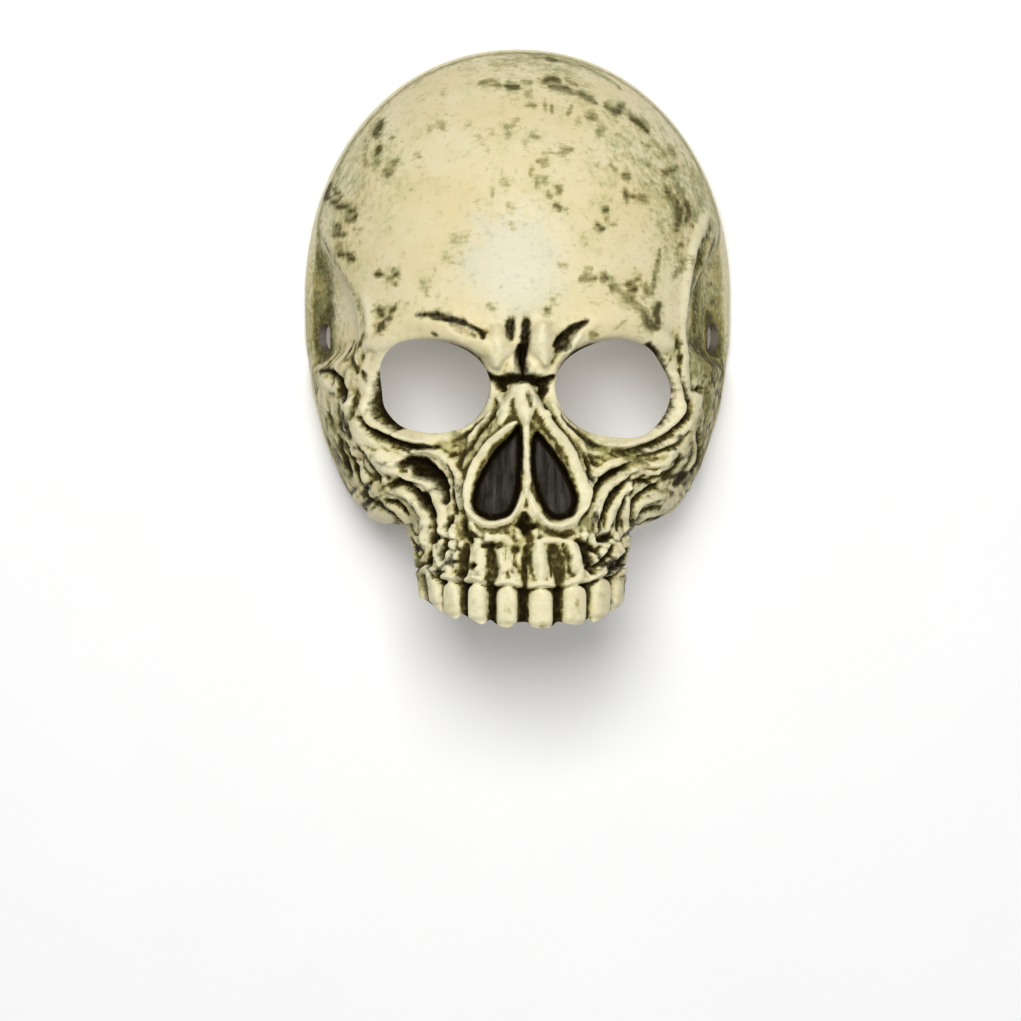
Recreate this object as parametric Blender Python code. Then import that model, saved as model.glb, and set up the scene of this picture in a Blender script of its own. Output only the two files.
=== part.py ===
"""A half skull mask: one thin moulded shell with a domed forehead, eye openings, two closed nose hollows,
sunken temples with a slot each for a strap, ridged cheekbones and an upper jaw with eight teeth.

It lies face up on its flat rear rim. +Z is the way the face looks, +Y is towards the forehead and +X is the
right-hand side as seen by someone who faces the mask. The origin is under the middle of the mask, on the
plane of the rim. Lengths are in millimetres until a mesh is made, and metres from there on.
"""

import math

import bmesh
import bpy
import numpy as np
from mathutils import Euler, Matrix

MM = 0.001
WELD = 0.00001

# How finely the moulded surfaces are worked out, and how many triangles of that are kept.
OUTER_ROWS, OUTER_COLUMNS, OUTER_TRIANGLES = 200, 170, 7400
INNER_ROWS, INNER_COLUMNS, INNER_TRIANGLES = 110, 90, 1900
HALF_SWEEP = 97                     # degrees from straight ahead to a row's ends, a little behind the rim
FACE_SHARE = 0.6                    # share of the rows that lie below the forehead's level
LAST_ROW_ANGLE = math.radians(88)   # how near the last row comes to the top of the dome

# Driving sizes of the bare form, in millimetres.
TOP = 106.4            # height of the forehead's rim above the origin, along Y
WIDEST_LEVEL = 14.0    # level of the greatest width
HALF_WIDTH = 78.5      # from the middle to the rim, at the widest level
FOREHEAD_LEVEL = 6.0   # level of the forehead's greatest depth
FOREHEAD_DEPTH = 85.0  # from the rim's plane to the forehead
DOME_FULLNESS = 2.1    # 2 is an ellipse, more is squarer
WALL = 2.6             # least thickness of the moulded wall
INSIDE_REACH = 4.0     # the inside stays below the lowest carving within this distance
INSIDE_LIMIT = 1.2     # and rises no more than this into a ridge
BLEND = 14.0           # how tightly the muzzle joins the face, higher is tighter
RIM_FADE = 9.0         # the relief fades out over this height above the rim

# The level sections below the widest level: each is a face arch joined with a narrower muzzle arch.
# level, face half-width, face depth, face fullness, muzzle half-width, muzzle depth, muzzle fullness
SECTIONS = (
    (14.0, 78.5, 85.0, 2.10, 1.0, 1.0, 2.3),
    (0.0, 78.2, 84.5, 2.20, 1.0, 1.0, 2.3),
    (-8.0, 77.2, 82.5, 2.25, 7.0, 74.0, 2.3),
    (-20.0, 75.6, 79.5, 2.35, 13.0, 85.0, 2.3),
    (-30.0, 73.2, 78.0, 2.45, 20.0, 90.5, 2.4),
    (-40.0, 70.2, 77.0, 2.50, 27.0, 92.0, 2.4),
    (-50.0, 66.4, 76.0, 2.60, 33.0, 92.0, 2.5),
    (-57.0, 63.0, 75.0, 2.60, 37.0, 92.0, 2.6),
    (-63.0, 59.0, 73.0, 2.60, 40.0, 92.5, 2.7),
    (-67.0, 53.5, 69.0, 2.50, 41.5, 93.0, 2.7),
    (-70.0, 45.0, 60.0, 2.30, 42.5, 93.5, 2.7),
    (-74.0, 20.0, 30.0, 2.20, 43.3, 94.0, 2.8),
    (-80.0, 5.0, 10.0, 2.20, 44.0, 95.0, 2.8),
    (-90.0, 5.0, 10.0, 2.20, 44.0, 96.0, 2.8),
    (-100.0, 5.0, 10.0, 2.20, 43.0, 95.5, 2.8),
    (-120.0, 5.0, 10.0, 2.20, 40.0, 93.0, 2.8),
)

# Openings and hollows, as outlines seen from the front: a smooth curve runs through each ring of points.
LEFT_ORBIT = (
    (-10.5, -17), (-14, -6.5), (-24, -0.5), (-36, 1.5), (-47, -1.5), (-54, -9),
    (-57, -20), (-56, -28), (-50, -34.5), (-39, -38), (-26, -37), (-15, -30),
)
RIGHT_ORBIT = (
    (11, -17), (14, -7.5), (23, -1), (36, 1.8), (47, -1), (53.5, -8.5),
    (57.5, -19), (56.5, -28), (50.5, -35), (40, -39.5), (27, -38.5), (16, -31),
)
LEFT_EYE = (
    (-12, -19), (-15.5, -9.5), (-25, -3.5), (-36, -1.8), (-45, -4), (-50, -10.5),
    (-51, -20), (-48.5, -28), (-42, -34), (-31, -36), (-21, -34), (-14.5, -27.5),
)
RIGHT_EYE = (
    (12.5, -19), (16, -9), (25, -3), (36, -1.3), (45.5, -4), (50.5, -11),
    (51.5, -20), (49, -29), (42, -35.5), (32, -37), (22, -35), (15.5, -28),
)
LEFT_NOSTRIL = (
    (-1.2, -32), (-5.5, -36), (-11, -42), (-15.5, -49), (-18.2, -57), (-16.5, -64),
    (-10.5, -66.5), (-4.8, -64.5), (-1.6, -58), (-0.6, -48), (-0.2, -39),
)
RIGHT_NOSTRIL = (
    (5, -35.5), (9.5, -40), (14, -46), (18.2, -53.5), (19.8, -60), (17.5, -65.5),
    (12, -66.8), (7.2, -64), (4.6, -57.5), (3.3, -49), (3.2, -41),
)
LEFT_TEMPLE = (
    (-76, 46), (-70.5, 34), (-64, 22), (-59.5, 10), (-58.5, 0), (-61.5, -8), (-69, -12),
    (-80, -13), (-95, -5), (-95, 30), (-86, 47),
)
# outline, depth, and the width of the wall that leads down to it
HOLLOWS = (
    (LEFT_ORBIT, 9.5, 7.0),
    (RIGHT_ORBIT, 9.5, 7.0),
    (LEFT_NOSTRIL, 9.0, 3.0),
    (RIGHT_NOSTRIL, 9.0, 3.0),
)
TEMPLE_DEPTH, TEMPLE_WALL = 6.5, 8.0
TEMPLE_FADE_START, TEMPLE_FADE = 3.0, 25.0   # height where the temples start to sink, and over which they do

# Ridges and grooves, as seen from the front. The rise is along the surface's normal, below 0 for a groove.
# half-width, rise, the points that the middle line runs through
STROKES = (
    # Brows and the bulges between them
    (7.0, 2.3, ((-53, -3), (-45, 4), (-34, 6), (-23, 3.5), (-14, -4))),
    (7.0, 2.3, ((53, -3), (45, 4.5), (34, 6), (24, 3.5), (15, -4))),
    (7.5, 3.2, ((-10, 0), (-9.5, -9))),
    (6.5, 3.2, ((8, 2), (8.2, -9))),
    (2.2, -3.2, ((-38, 6.5), (-29, 7), (-22, 5), (-14.5, 0))),
    (2.8, -2.0, ((-21, 3), (-15.5, -0.5))),
    (3.2, -3.5, ((21.5, 4), (16, 0), (12.5, -6))),
    (2.6, -4.0, ((1, 5.5), (1, -4), (0.5, -14))),
    (2.6, -2.8, ((-4, 5), (-4, -2))),
    (3.5, -3.5, ((-12, -16), (-6, -16.5), (0, -15), (5, -16.5), (9, -17))),
    # Nose bones, the rims of the two nose hollows, and the wall between them
    (4.5, 3.2, ((0, -18), (0.5, -25), (1, -31))),
    (3.0, 2.8, ((-3, -20), (-7, -29), (-12.5, -38), (-17.5, -47), (-20.5, -57), (-18.5, -65), (-11, -69),
                (-4, -67))),
    (3.0, 2.8, ((3.5, -20), (8, -30), (13.5, -39), (18.5, -47), (22, -57), (20.5, -65.5), (13.5, -69.5),
                (6, -67))),
    (1.9, 1.0, ((1.3, -31), (1.5, -42), (1.5, -53), (1.2, -60))),
    (2.4, 1.5, ((1.2, -57), (-3.2, -66))),
    (2.4, 1.5, ((1.2, -57), (6.4, -66.5))),
    (4.0, -3.5, ((0.6, -66.5), (1.2, -70.5))),
    # Cheekbones: the lower rims of the orbits, and the ridges that run down from them
    (3.0, 2.3, ((-58, -22), (-56, -31), (-48, -36.8), (-38, -39), (-26, -37.5))),
    (3.0, 2.3, ((59, -20), (57.5, -30), (51, -36.5), (40, -40.5), (28, -39.5))),
    (2.3, -2.6, ((-59, -30), (-53.5, -36.5), (-44, -40.5), (-33, -41))),
    (2.3, -2.4, ((58, -35), (50, -39), (42, -42), (33, -43.5))),
    (8.0, 2.8, ((-62, -24), (-57, -38), (-48, -47))),
    (8.0, 2.8, ((63, -24), (58, -38), (50, -47))),
    (4.2, -4.6, ((-41, -47), (-35, -47.8), (-30, -51), (-27, -57))),
    (3.4, -3.5, ((38, -46.5), (31, -50), (26.5, -56), (23.5, -63))),
    (2.8, 2.5, ((-35, -42.5), (-27, -46), (-23.2, -53), (-22.5, -62))),
    (3.0, 2.5, ((-44, -51.5), (-36, -54), (-30.5, -59), (-28, -67), (-28, -74))),
    (2.7, -4.0, ((-47, -54.5), (-41, -55.5), (-36, -60), (-32.3, -66), (-31.5, -73))),
    (3.0, 2.5, ((-48, -58), (-41, -60), (-36.5, -65.5), (-35, -73), (-35, -80))),
    (2.2, -2.8, ((-57, -61), (-50, -61), (-44, -64), (-40, -68))),
    (4.0, 2.3, ((-55, -65), (-46, -66))),
    (3.0, 2.5, ((52, -45), (42, -48.5), (34, -53), (29, -60), (27, -68))),
    (1.9, -2.6, ((45, -54.5), (38.5, -55), (35.5, -60), (33, -67))),
    (2.6, 2.5, ((50, -52.5), (41, -53), (38, -58), (37.8, -67), (38, -76))),
    (2.3, -3.5, ((51, -55.5), (46, -57.5), (41.5, -62))),
    (2.0, 2.0, ((52, -58.5), (46, -61.5), (42, -64.5))),
    (2.2, -3.2, ((52, -62.5), (46, -65), (41.5, -69.5), (40, -74))),
    (2.0, -2.4, ((-60, -42), (-58, -50), (-55, -57))),
    (2.0, -2.4, ((-54.5, -42), (-53, -49))),
    (3.0, -2.4, ((63, -44), (58, -52))),
    # Hollows between the roots of the teeth, below the ledge under the nose
    (2.0, 1.6, ((-18, -76), (-11, -74.5), (-4, -76.5))),
    (2.0, 1.6, ((3, -76), (9, -74.5), (18, -75.5))),
    (3.0, -3.2, ((-11.6, -77.5), (-11.6, -90))),
    (2.4, -3.2, ((1.0, -77), (1.2, -89.5))),
    (3.2, -3.2, ((11.6, -78), (14.0, -90))),
    (3.0, -3.2, ((-22.3, -77.5), (-22.3, -90))),
    (2.6, -3.2, ((22.5, -76), (24.6, -86))),
    (2.2, -2.8, ((-30.5, -80), (-31, -88))),
    (2.2, -2.8, ((30, -74), (33, -82))),
)

# The teeth from left to right: middle, half-width, level of the gum line.
TEETH = (
    (-33.4, 2.3, -87.0),
    (-26.6, 2.9, -90.0),
    (-16.8, 3.7, -90.8),
    (-5.9, 4.3, -91.8),
    (6.9, 4.6, -92.6),
    (19.2, 4.3, -91.2),
    (29.3, 3.1, -89.0),
    (35.6, 2.1, -86.8),
)
TOOTH_GAP_DEPTH = 4.5    # how far the gaps between the teeth lie below them
TOOTH_RISE = 3.5         # how far a tooth stands out of its gap
TOOTH_CROWN = 0.8        # how far a tooth's middle bulges beyond that
TOOTH_EDGE = 0.42        # share of a tooth's half-width that is rounded off at its side
TOOTH_NECK = 1.4         # height over which a tooth comes up below the gum line
TOOTH_ROW_END = 2.0      # the row's gaps run this far past its end teeth
GUM_COLLAR = (1.6, 2.6)  # half-width and rise of the collar above each tooth
COLLAR_SPREAD = 1.2      # how far a collar's pointed ends reach beside its tooth, and down

# Where the rear of the mask is trimmed, as seen from the side: forward place and level along the cut.
CHEEK_TRIM = (
    (-12, -40), (-2, -42), (10, -52), (24, -62.5), (42, -71.5), (58, -77), (64, -86), (65, -100), (65, -125),
)

# The lower edge as seen from the front, from left to right.
BITE_EDGE = (
    (-45, -95), (-37, -96.5), (-31, -99.8), (-28.5, -101.8), (-24, -103.4), (-22, -101.8), (-20, -102.8),
    (-14.5, -105.4), (-12, -103.6), (-9, -106), (-5, -106.6), (-2.5, -105), (1.5, -104.6), (3, -106.4),
    (10, -106.6), (12.5, -104.5), (15.5, -105.2), (21, -105.4), (24, -103.2), (25.5, -104.7), (31, -102.2),
    (33, -100.2), (36, -98.8), (38, -97.2), (45, -95),
)
LOWEST = -114.0        # the bare form reaches below that edge
INSIDE_OVERRUN = 8.0   # and the hollow's form below that
FAR = 150.0            # a cutter reaches this far past the mask

# Slots for a strap, one through each temple.
SLOT_HEIGHT, SLOT_WIDTH = 10.5, 8.0
SLOT_LEVEL, SLOT_FORWARD = -0.3, 20.0

# The turn that stands an outline of levels and forward places up along X.
SEEN_FROM_THE_SIDE = (math.pi / 2, 0, math.pi / 2)

BONE = (0.80, 0.74, 0.52, 1.0)


def smoothstep(t):
    """0 below 0, 1 above 1, and a smooth rise between."""
    t = np.clip(t, 0.0, 1.0)
    return t * t * (3 - 2 * t)


def smooth_curve(points, closed=False, per_span=6):
    """Points along a Catmull-Rom curve through the given ones."""
    given = np.array(points, float)
    if closed:
        padded = np.vstack([given[-1:], given, given[:2]])
    else:
        padded = np.vstack([2 * given[:1] - given[1:2], given, 2 * given[-1:] - given[-2:-1]])
    t = np.linspace(0, 1, per_span, endpoint=False)[:, None]
    spans = []
    for a, b, c, d in zip(padded, padded[1:], padded[2:], padded[3:]):
        bend = 2 * a - 5 * b + 4 * c - d
        twist = 3 * b - a - 3 * c + d
        spans.append(0.5 * (2 * b + (c - a) * t + bend * t**2 + twist * t**3))
    line = np.vstack(spans)
    return line if closed else np.vstack([line, given[-1:]])


def distance_to_line(x, y, line):
    """Distance of each place to a line of points, and how far along it the nearest point is, from 0 to 1."""
    nearest = np.full(x.shape, np.inf)
    along = np.zeros(x.shape)
    for i, (a, b) in enumerate(zip(line, line[1:])):
        way = b - a
        t = np.clip(((x - a[0]) * way[0] + (y - a[1]) * way[1]) / max(way @ way, 1e-9), 0, 1)
        distance = np.hypot(x - a[0] - t * way[0], y - a[1] - t * way[1])
        closer = distance < nearest
        nearest[closer] = distance[closer]
        along[closer] = (i + t[closer]) / (len(line) - 1)
    return nearest, along


def depth_inside(x, y, outline):
    """How far each place lies inside a closed smooth outline, and 0 or less outside it."""
    ring = smooth_curve(outline, closed=True)
    ring = np.vstack([ring, ring[:1]])
    distance = distance_to_line(x, y, ring)[0]
    inside = np.zeros(x.shape, bool)
    for a, b in zip(ring, ring[1:]):
        crosses = (a[1] > y) != (b[1] > y)
        rise = b[1] - a[1] if abs(b[1] - a[1]) > 1e-9 else 1e-9
        inside ^= crosses & (x < a[0] + (y - a[1]) / rise * (b[0] - a[0]))
    return np.where(inside, distance, -distance)


def mirrored(outline):
    return tuple((-x, y) for x, y in outline)


def stroke(x, y, half_width, rise, points):
    """A ridge or groove with a round profile, which narrows towards its ends."""
    distance, along = distance_to_line(x, y, smooth_curve(points))
    width = half_width * (1 - 0.45 * np.abs(2 * along - 1) ** 3)
    return rise * np.clip(1 - (distance / width) ** 2, 0, None) ** 1.5


def teeth_relief(x, y):
    """The row of teeth: sunk gaps, with a rounded crown and a collar for each tooth."""
    left_end = TEETH[0][0] - TEETH[0][1] - TOOTH_ROW_END
    right_end = TEETH[-1][0] + TEETH[-1][1] + TOOTH_ROW_END
    across = smoothstep((x - left_end) / TOOTH_ROW_END) * smoothstep((right_end - x) / TOOTH_ROW_END)
    gum_line = np.interp(x, [tooth[0] for tooth in TEETH], [tooth[2] for tooth in TEETH])
    height = -TOOTH_GAP_DEPTH * smoothstep((gum_line - y) / TOOTH_NECK) * across
    for middle, half_width, gum in TEETH:
        off = np.abs(x - middle) / half_width
        crown = smoothstep((1 + TOOTH_EDGE / 4 - off) / TOOTH_EDGE) * smoothstep((gum - y) / TOOTH_NECK)
        height += crown * (TOOTH_RISE + TOOTH_CROWN * np.clip(1 - off**2, 0, None))
        spread = half_width + COLLAR_SPREAD
        low = gum - COLLAR_SPREAD
        collar = ((middle - spread, low), (middle, gum + COLLAR_SPREAD / 2), (middle + spread, low))
        height += stroke(x, y, *GUM_COLLAR, collar)
    return height


def temples(x, y):
    """The sunken temples, at a place seen from the front."""
    deepest = np.maximum(depth_inside(x, y, LEFT_TEMPLE), depth_inside(x, y, mirrored(LEFT_TEMPLE)))
    return -TEMPLE_DEPTH * smoothstep(deepest / TEMPLE_WALL)


def relief(x, y):
    """How far the carved surface stands off the bare form, at a place seen from the front."""
    height = np.zeros(x.shape)
    for outline, depth, wall in HOLLOWS:
        height -= depth * smoothstep(depth_inside(x, y, outline) / wall)
    for half_width, rise, points in STROKES:
        height += stroke(x, y, half_width, rise, points)
    return height + teeth_relief(x, y)


def section_at(level):
    """The sizes of the bare form's section at each level: a dome above the widest level, the table below."""
    low = np.clip((level - WIDEST_LEVEL) / (TOP - WIDEST_LEVEL), 0, 1)
    dome_width = HALF_WIDTH * (1 - low**DOME_FULLNESS) ** (1 / DOME_FULLNESS)
    low = np.clip((level - FOREHEAD_LEVEL) / (TOP - FOREHEAD_LEVEL), 0, 1)
    dome_depth = FOREHEAD_DEPTH * (1 - low**DOME_FULLNESS) ** (1 / DOME_FULLNESS)
    rows = smooth_curve(SECTIONS, per_span=8)[::-1]
    sizes = [np.interp(level, rows[:, 0], rows[:, i]) for i in range(1, 7)]
    above = level > WIDEST_LEVEL
    sizes[0] = np.where(above, dome_width, sizes[0])
    sizes[1] = np.where(above, dome_depth, sizes[1])
    return sizes


def arch(angle, half_width, depth, fullness):
    """Distance from the middle to a superellipse, in the direction of each angle from straight ahead."""
    side = np.abs(np.sin(angle) / half_width) ** fullness
    front = np.abs(np.cos(angle) / depth) ** fullness
    return (side + front) ** (-1 / fullness)


def bare_form(levels, angles):
    """The smooth form under the carving, as grids of places and of normals: a row for each level."""
    level, angle = np.meshgrid(levels, angles, indexing="ij")
    face_w, face_d, face_n, muzzle_w, muzzle_d, muzzle_n = section_at(level)
    face = arch(angle, face_w, face_d, face_n)
    muzzle = arch(angle, muzzle_w, muzzle_d, muzzle_n)
    radius = (face**BLEND + muzzle**BLEND) ** (1 / BLEND)
    places = np.stack([radius * np.sin(angle), level, radius * np.cos(angle)], axis=-1)
    normals = np.cross(np.gradient(places, axis=1), np.gradient(places, axis=0))
    normals /= np.linalg.norm(normals, axis=-1, keepdims=True)
    return places, normals


def stand_off(places, carving):
    """How far a surface stands off the bare form: its carving and the temples, both less near the rim."""
    x, y, z = places[..., 0], places[..., 1], places[..., 2]
    flare = smoothstep((z - TEMPLE_FADE_START) / TEMPLE_FADE)
    return carving * smoothstep(z / RIM_FADE) + temples(x, y) * flare


def smoothed(heights, passes):
    """A grid of heights with each one evened out with its neighbours, this many times."""
    for _ in range(passes):
        wide = np.pad(heights, 1, mode="edge")
        around = wide[:-2, 1:-1] + wide[2:, 1:-1] + wide[1:-1, :-2] + wide[1:-1, 2:]
        heights = (around + 4 * heights) / 8
    return heights


def outer_surface(levels, angles):
    places, normals = bare_form(levels, angles)
    carving = smoothed(relief(places[..., 0], places[..., 1]), 2)
    return places + normals * stand_off(places, carving)[..., None]


def inner_surface(levels, angles):
    """The inside runs smoothly below the lowest carving nearby, by one wall's thickness."""
    places, normals = bare_form(levels, angles)
    x, y = places[..., 0], places[..., 1]
    lowest = np.minimum(relief(x, y), INSIDE_LIMIT)
    for reach in (INSIDE_REACH / 2, INSIDE_REACH):
        for turn in np.linspace(0, 2 * math.pi, 8, endpoint=False):
            lowest = np.minimum(lowest, relief(x + reach * np.cos(turn), y + reach * np.sin(turn)))
    height = stand_off(places, smoothed(lowest, 3)) - WALL
    return places + normals * height[..., None]


def level_rows(lowest, count):
    """Levels from the teeth to the top of the dome, closest over the face and where the dome closes."""
    share = np.linspace(0, 1, count)
    face = lowest + (FOREHEAD_LEVEL - lowest) * share / FACE_SHARE
    turn = (share - FACE_SHARE) / (1 - FACE_SHARE) * LAST_ROW_ANGLE
    dome = FOREHEAD_LEVEL + (TOP - FOREHEAD_LEVEL) * np.sin(turn)
    return np.where(share < FACE_SHARE, face, dome)


def loft(name, rows):
    """A closed mesh through rows of points: each is closed across the rear, and the two ends are capped."""
    mesh = bpy.data.meshes.new(name)
    shape = bmesh.new()
    rings = [[shape.verts.new(point * MM) for point in row] for row in rows]
    for low, high in zip(rings, rings[1:]):
        for i in range(len(low)):
            j = (i + 1) % len(low)
            shape.faces.new((low[i], low[j], high[j], high[i]))
    shape.faces.new(rings[0][::-1])
    shape.faces.new(rings[-1])
    bmesh.ops.recalc_face_normals(shape, faces=shape.faces)
    shape.to_mesh(mesh)
    shape.free()
    mesh.shade_smooth()
    return bpy.data.objects.new(name, mesh)


def prism(name, outline, low, high, turn=(0, 0, 0)):
    """A flat outline extruded from low to high along its own normal, and turned into place."""
    curve = bpy.data.curves.new(name, "CURVE")
    curve.dimensions = "2D"
    curve.fill_mode = "BOTH"
    curve.extrude = (high - low) / 2 * MM
    spline = curve.splines.new("POLY")
    spline.points.add(len(outline) - 1)
    for point, (x, y) in zip(spline.points, outline):
        point.co = (x * MM, y * MM, 0, 1)
    spline.use_cyclic_u = True
    guide = bpy.data.objects.new(name + "_curve", curve)
    bpy.context.scene.collection.objects.link(guide)
    middle = Matrix.Translation((0, 0, (low + high) / 2 * MM))
    guide.matrix_world = Euler(turn).to_matrix().to_4x4() @ middle
    bpy.context.view_layer.update()
    graph = bpy.context.evaluated_depsgraph_get()
    mesh = bpy.data.meshes.new_from_object(guide.evaluated_get(graph))
    shape = bmesh.new()
    shape.from_mesh(mesh)
    bmesh.ops.remove_doubles(shape, verts=shape.verts, dist=WELD)
    bmesh.ops.recalc_face_normals(shape, faces=shape.faces)
    shape.to_mesh(mesh)
    shape.free()
    solid = bpy.data.objects.new(name, mesh)
    solid.matrix_world = guide.matrix_world
    bpy.data.objects.remove(guide)
    return solid


def sweep(count):
    """The angles of a row's points, from one side of the mask to the other."""
    return np.radians(np.linspace(-HALF_SWEEP, HALF_SWEEP, count))


def decimate(solid, triangles):
    """Simplifies a solid to about this many triangles, which stay small where it curves most."""
    quads = len(solid.data.polygons)
    modifier = solid.modifiers.new("Simplify", "DECIMATE")
    modifier.ratio = triangles / (2 * quads)


def cut(solid, cutter):
    modifier = solid.modifiers.new("Cut " + cutter.name, "BOOLEAN")
    modifier.operation = "DIFFERENCE"
    modifier.solver = "EXACT"
    modifier.object = cutter


def cutters():
    """The inside of the mask, the floor that it lies on, the trimmed edges, and the openings."""
    levels = level_rows(LOWEST - INSIDE_OVERRUN, INNER_ROWS)
    inside = loft("inside", inner_surface(levels, sweep(INNER_COLUMNS)))
    decimate(inside, INNER_TRIANGLES)
    yield inside
    yield prism("floor", ((-FAR, -FAR), (FAR, -FAR), (FAR, FAR), (-FAR, FAR)), -FAR, 0)
    side = [(level, forward) for forward, level in smooth_curve(CHEEK_TRIM, per_span=4)]
    side += [(-FAR, side[-1][1]), (-FAR, side[0][1])]
    yield prism("cheek_trim", side, -FAR, FAR, SEEN_FROM_THE_SIDE)
    below = [(-FAR, BITE_EDGE[0][1]), (-FAR, -FAR), (FAR, -FAR), (FAR, BITE_EDGE[-1][1])]
    yield prism("bite_edge", below + list(BITE_EDGE[::-1]), 0, FAR)
    yield prism("left_eye", smooth_curve(LEFT_EYE, closed=True, per_span=4), 0, FAR)
    yield prism("right_eye", smooth_curve(RIGHT_EYE, closed=True, per_span=4), 0, FAR)
    yield prism("strap_slots", slot_outline(), -FAR, FAR, SEEN_FROM_THE_SIDE)


def slot_outline():
    """A rounded slot as seen from the side: level and forward place."""
    radius = SLOT_WIDTH / 2
    straight = SLOT_HEIGHT / 2 - radius
    outline = []
    for end, first in ((1, -90), (-1, 90)):
        for degrees in np.linspace(first, first + 180, 7):
            level = SLOT_LEVEL + end * straight + radius * math.cos(math.radians(degrees))
            outline.append((level, SLOT_FORWARD + radius * math.sin(math.radians(degrees))))
    return outline


def bone_material():
    material = bpy.data.materials.new("painted_bone")
    material.use_nodes = True
    shader = material.node_tree.nodes["Principled BSDF"]
    shader.inputs["Base Color"].default_value = BONE
    shader.inputs["Roughness"].default_value = 0.45
    shader.inputs["Metallic"].default_value = 0.0
    return material


def collection(name):
    group = bpy.data.collections.new(name)
    bpy.context.scene.collection.children.link(group)
    return group


def main():
    for leftover in list(bpy.data.objects):
        bpy.data.objects.remove(leftover)
    mask = collection("skull_mask")
    tools = collection("cutters")
    shell = loft("mask_shell", outer_surface(level_rows(LOWEST, OUTER_ROWS), sweep(OUTER_COLUMNS)))
    shell.data.materials.append(bone_material())
    decimate(shell, OUTER_TRIANGLES)
    mask.objects.link(shell)
    for cutter in cutters():
        cutter.hide_render = True
        cutter.display_type = "WIRE"
        tools.objects.link(cutter)
        cut(shell, cutter)


main()
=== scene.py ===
"""The looks of a half skull mask: a thin moulded shell, carved and hand painted as old bone.

The carving is a height over a smooth form, worked out from tables of strokes and outlines as seen from the
front. The paint follows the same tables: dark ink in the deepest lines, an olive wash in the hollows, thin
stains on the forehead, dark floors in the nose hollows with a painted grey sheen, and clean bone on the
ridges. A painted highlight lies on the middle of the forehead, and the wash grows towards the rim, partly
as painted shade. Lengths are in millimetres until a mesh is made, and metres from there on.
"""

import math

import bmesh
import bpy
import numpy as np
from mathutils import Euler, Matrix, Vector, kdtree, noise


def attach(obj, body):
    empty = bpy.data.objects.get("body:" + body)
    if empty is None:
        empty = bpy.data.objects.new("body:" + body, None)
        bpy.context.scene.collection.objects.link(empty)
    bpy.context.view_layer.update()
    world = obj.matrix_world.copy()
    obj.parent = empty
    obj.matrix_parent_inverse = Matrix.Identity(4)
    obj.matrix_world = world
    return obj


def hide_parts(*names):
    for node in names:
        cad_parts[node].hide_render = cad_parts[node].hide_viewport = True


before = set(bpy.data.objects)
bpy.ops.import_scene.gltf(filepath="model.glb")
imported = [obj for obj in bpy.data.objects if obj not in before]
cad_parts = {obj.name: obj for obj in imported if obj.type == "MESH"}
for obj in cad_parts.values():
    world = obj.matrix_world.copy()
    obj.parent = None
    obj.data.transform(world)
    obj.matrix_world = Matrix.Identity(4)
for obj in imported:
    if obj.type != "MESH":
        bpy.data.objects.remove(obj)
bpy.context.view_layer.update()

MM = 0.001
NEARLY_ZERO = 1e-9

# How finely the moulded surfaces are made.
OUTER_LEVELS = 274
OUTER_FACE_SHARE = 0.70
INNER_LEVELS, INNER_COLUMNS = 110, 90
INNER_FACE_SHARE = 0.6
FINE_SWEEP, FINE_COLUMNS = 40.0, 178    # degrees to each side of straight ahead, and the columns in between
HALF_SWEEP, SIDE_COLUMNS = 97.0, 58     # degrees to a row's ends, and the columns from there on each side
LAST_ROW_ANGLE = math.radians(88)

# Driving sizes of the bare form, the same as the solid's.
TOP = 106.4
WIDEST_LEVEL = 14.0
HALF_WIDTH = 78.5
FOREHEAD_LEVEL = 6.0
FOREHEAD_DEPTH = 85.0
DOME_FULLNESS = 2.1
LOWEST = -110.0
BLEND = 14.0             # how sharply the muzzle meets the face
FAR = 150.0              # past every side of the mask

# The inside of the shell.
WALL = 2.6
INSIDE_REACH = 4.0       # it runs below the lowest carving within this distance
INSIDE_LIMIT = 1.2       # it doesn't follow carving that stands higher than this
INSIDE_OVERRUN = 8.0     # it starts this far below the outside, and so cuts right through
INSIDE_RING = 8          # directions in which it looks for the lowest carving

# Heights above the rim's plane: carving starts to fade, the rim's edge is wiped, and the clean band ends.
RIM_FADE = 9.0
RIM_BAND = 7.0
RIM_LINE = 14.0
STAIN_ABOVE_RIM = 9.0    # how far up from the clean band's end its stained line reaches

# Where the carved part of the face, the gums and the jaw's broken surface lie.
CARVED_TOP, CARVED_FADE = 8.0, 20.0
GUM_TOP, GUM_FADE = -90.0, 4.0
JAW_TOP, JAW_BOTTOM = -68.0, -90.0
JAW_GRAIN_END, NET_START = 26.0, 21.0    # to each side of the middle

# The unevenness of the surface: size of its lumps, their height, and a seed.
ROUGHNESS = ((8.0, 0.45, 1), (3.4, 0.30, 2), (1.7, 0.14, 6))
# The unevenness of the carved lines: size of their bends, how far those reach, and a seed.
WANDERS = ((8.0, 0.7, 3), (2.6, 0.28, 4))
GRAIN_SPACING, GRAIN_LENGTH, GRAIN_HEIGHT = 1.9, 9.0, 0.55
DAB_WIDTH, DAB_LENGTH, DAB_DEPTH = 2.1, 5.5, 0.7
NET_SIZE, NET_HEIGHT = 3.8, 1.3

# How the paint lies.
LEAST_PAINTED = 0.9      # half the width of the thinnest painted line
INK_SPREAD = 1.3         # how much wider the thin ink beside a line is
SHEEN_MARK = 3.0        # the stain's value on the floors of the nose hollows, where a painted grey sheen lies over the dark
# A stain's core and the halo round it: their widths against the stain's own, and what each adds to it.
CORE_WIDTH, CORE_SHARE = 1.3, 0.62
HALO_WIDTH, HALO_EDGE, HALO_SHARE = 3.0, 0.6, 0.38
# How often the carving is evened out to tell what is low or proud among near places, and among far ones.
CLOSE_PASSES, BROAD_PASSES = 10, 70

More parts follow.
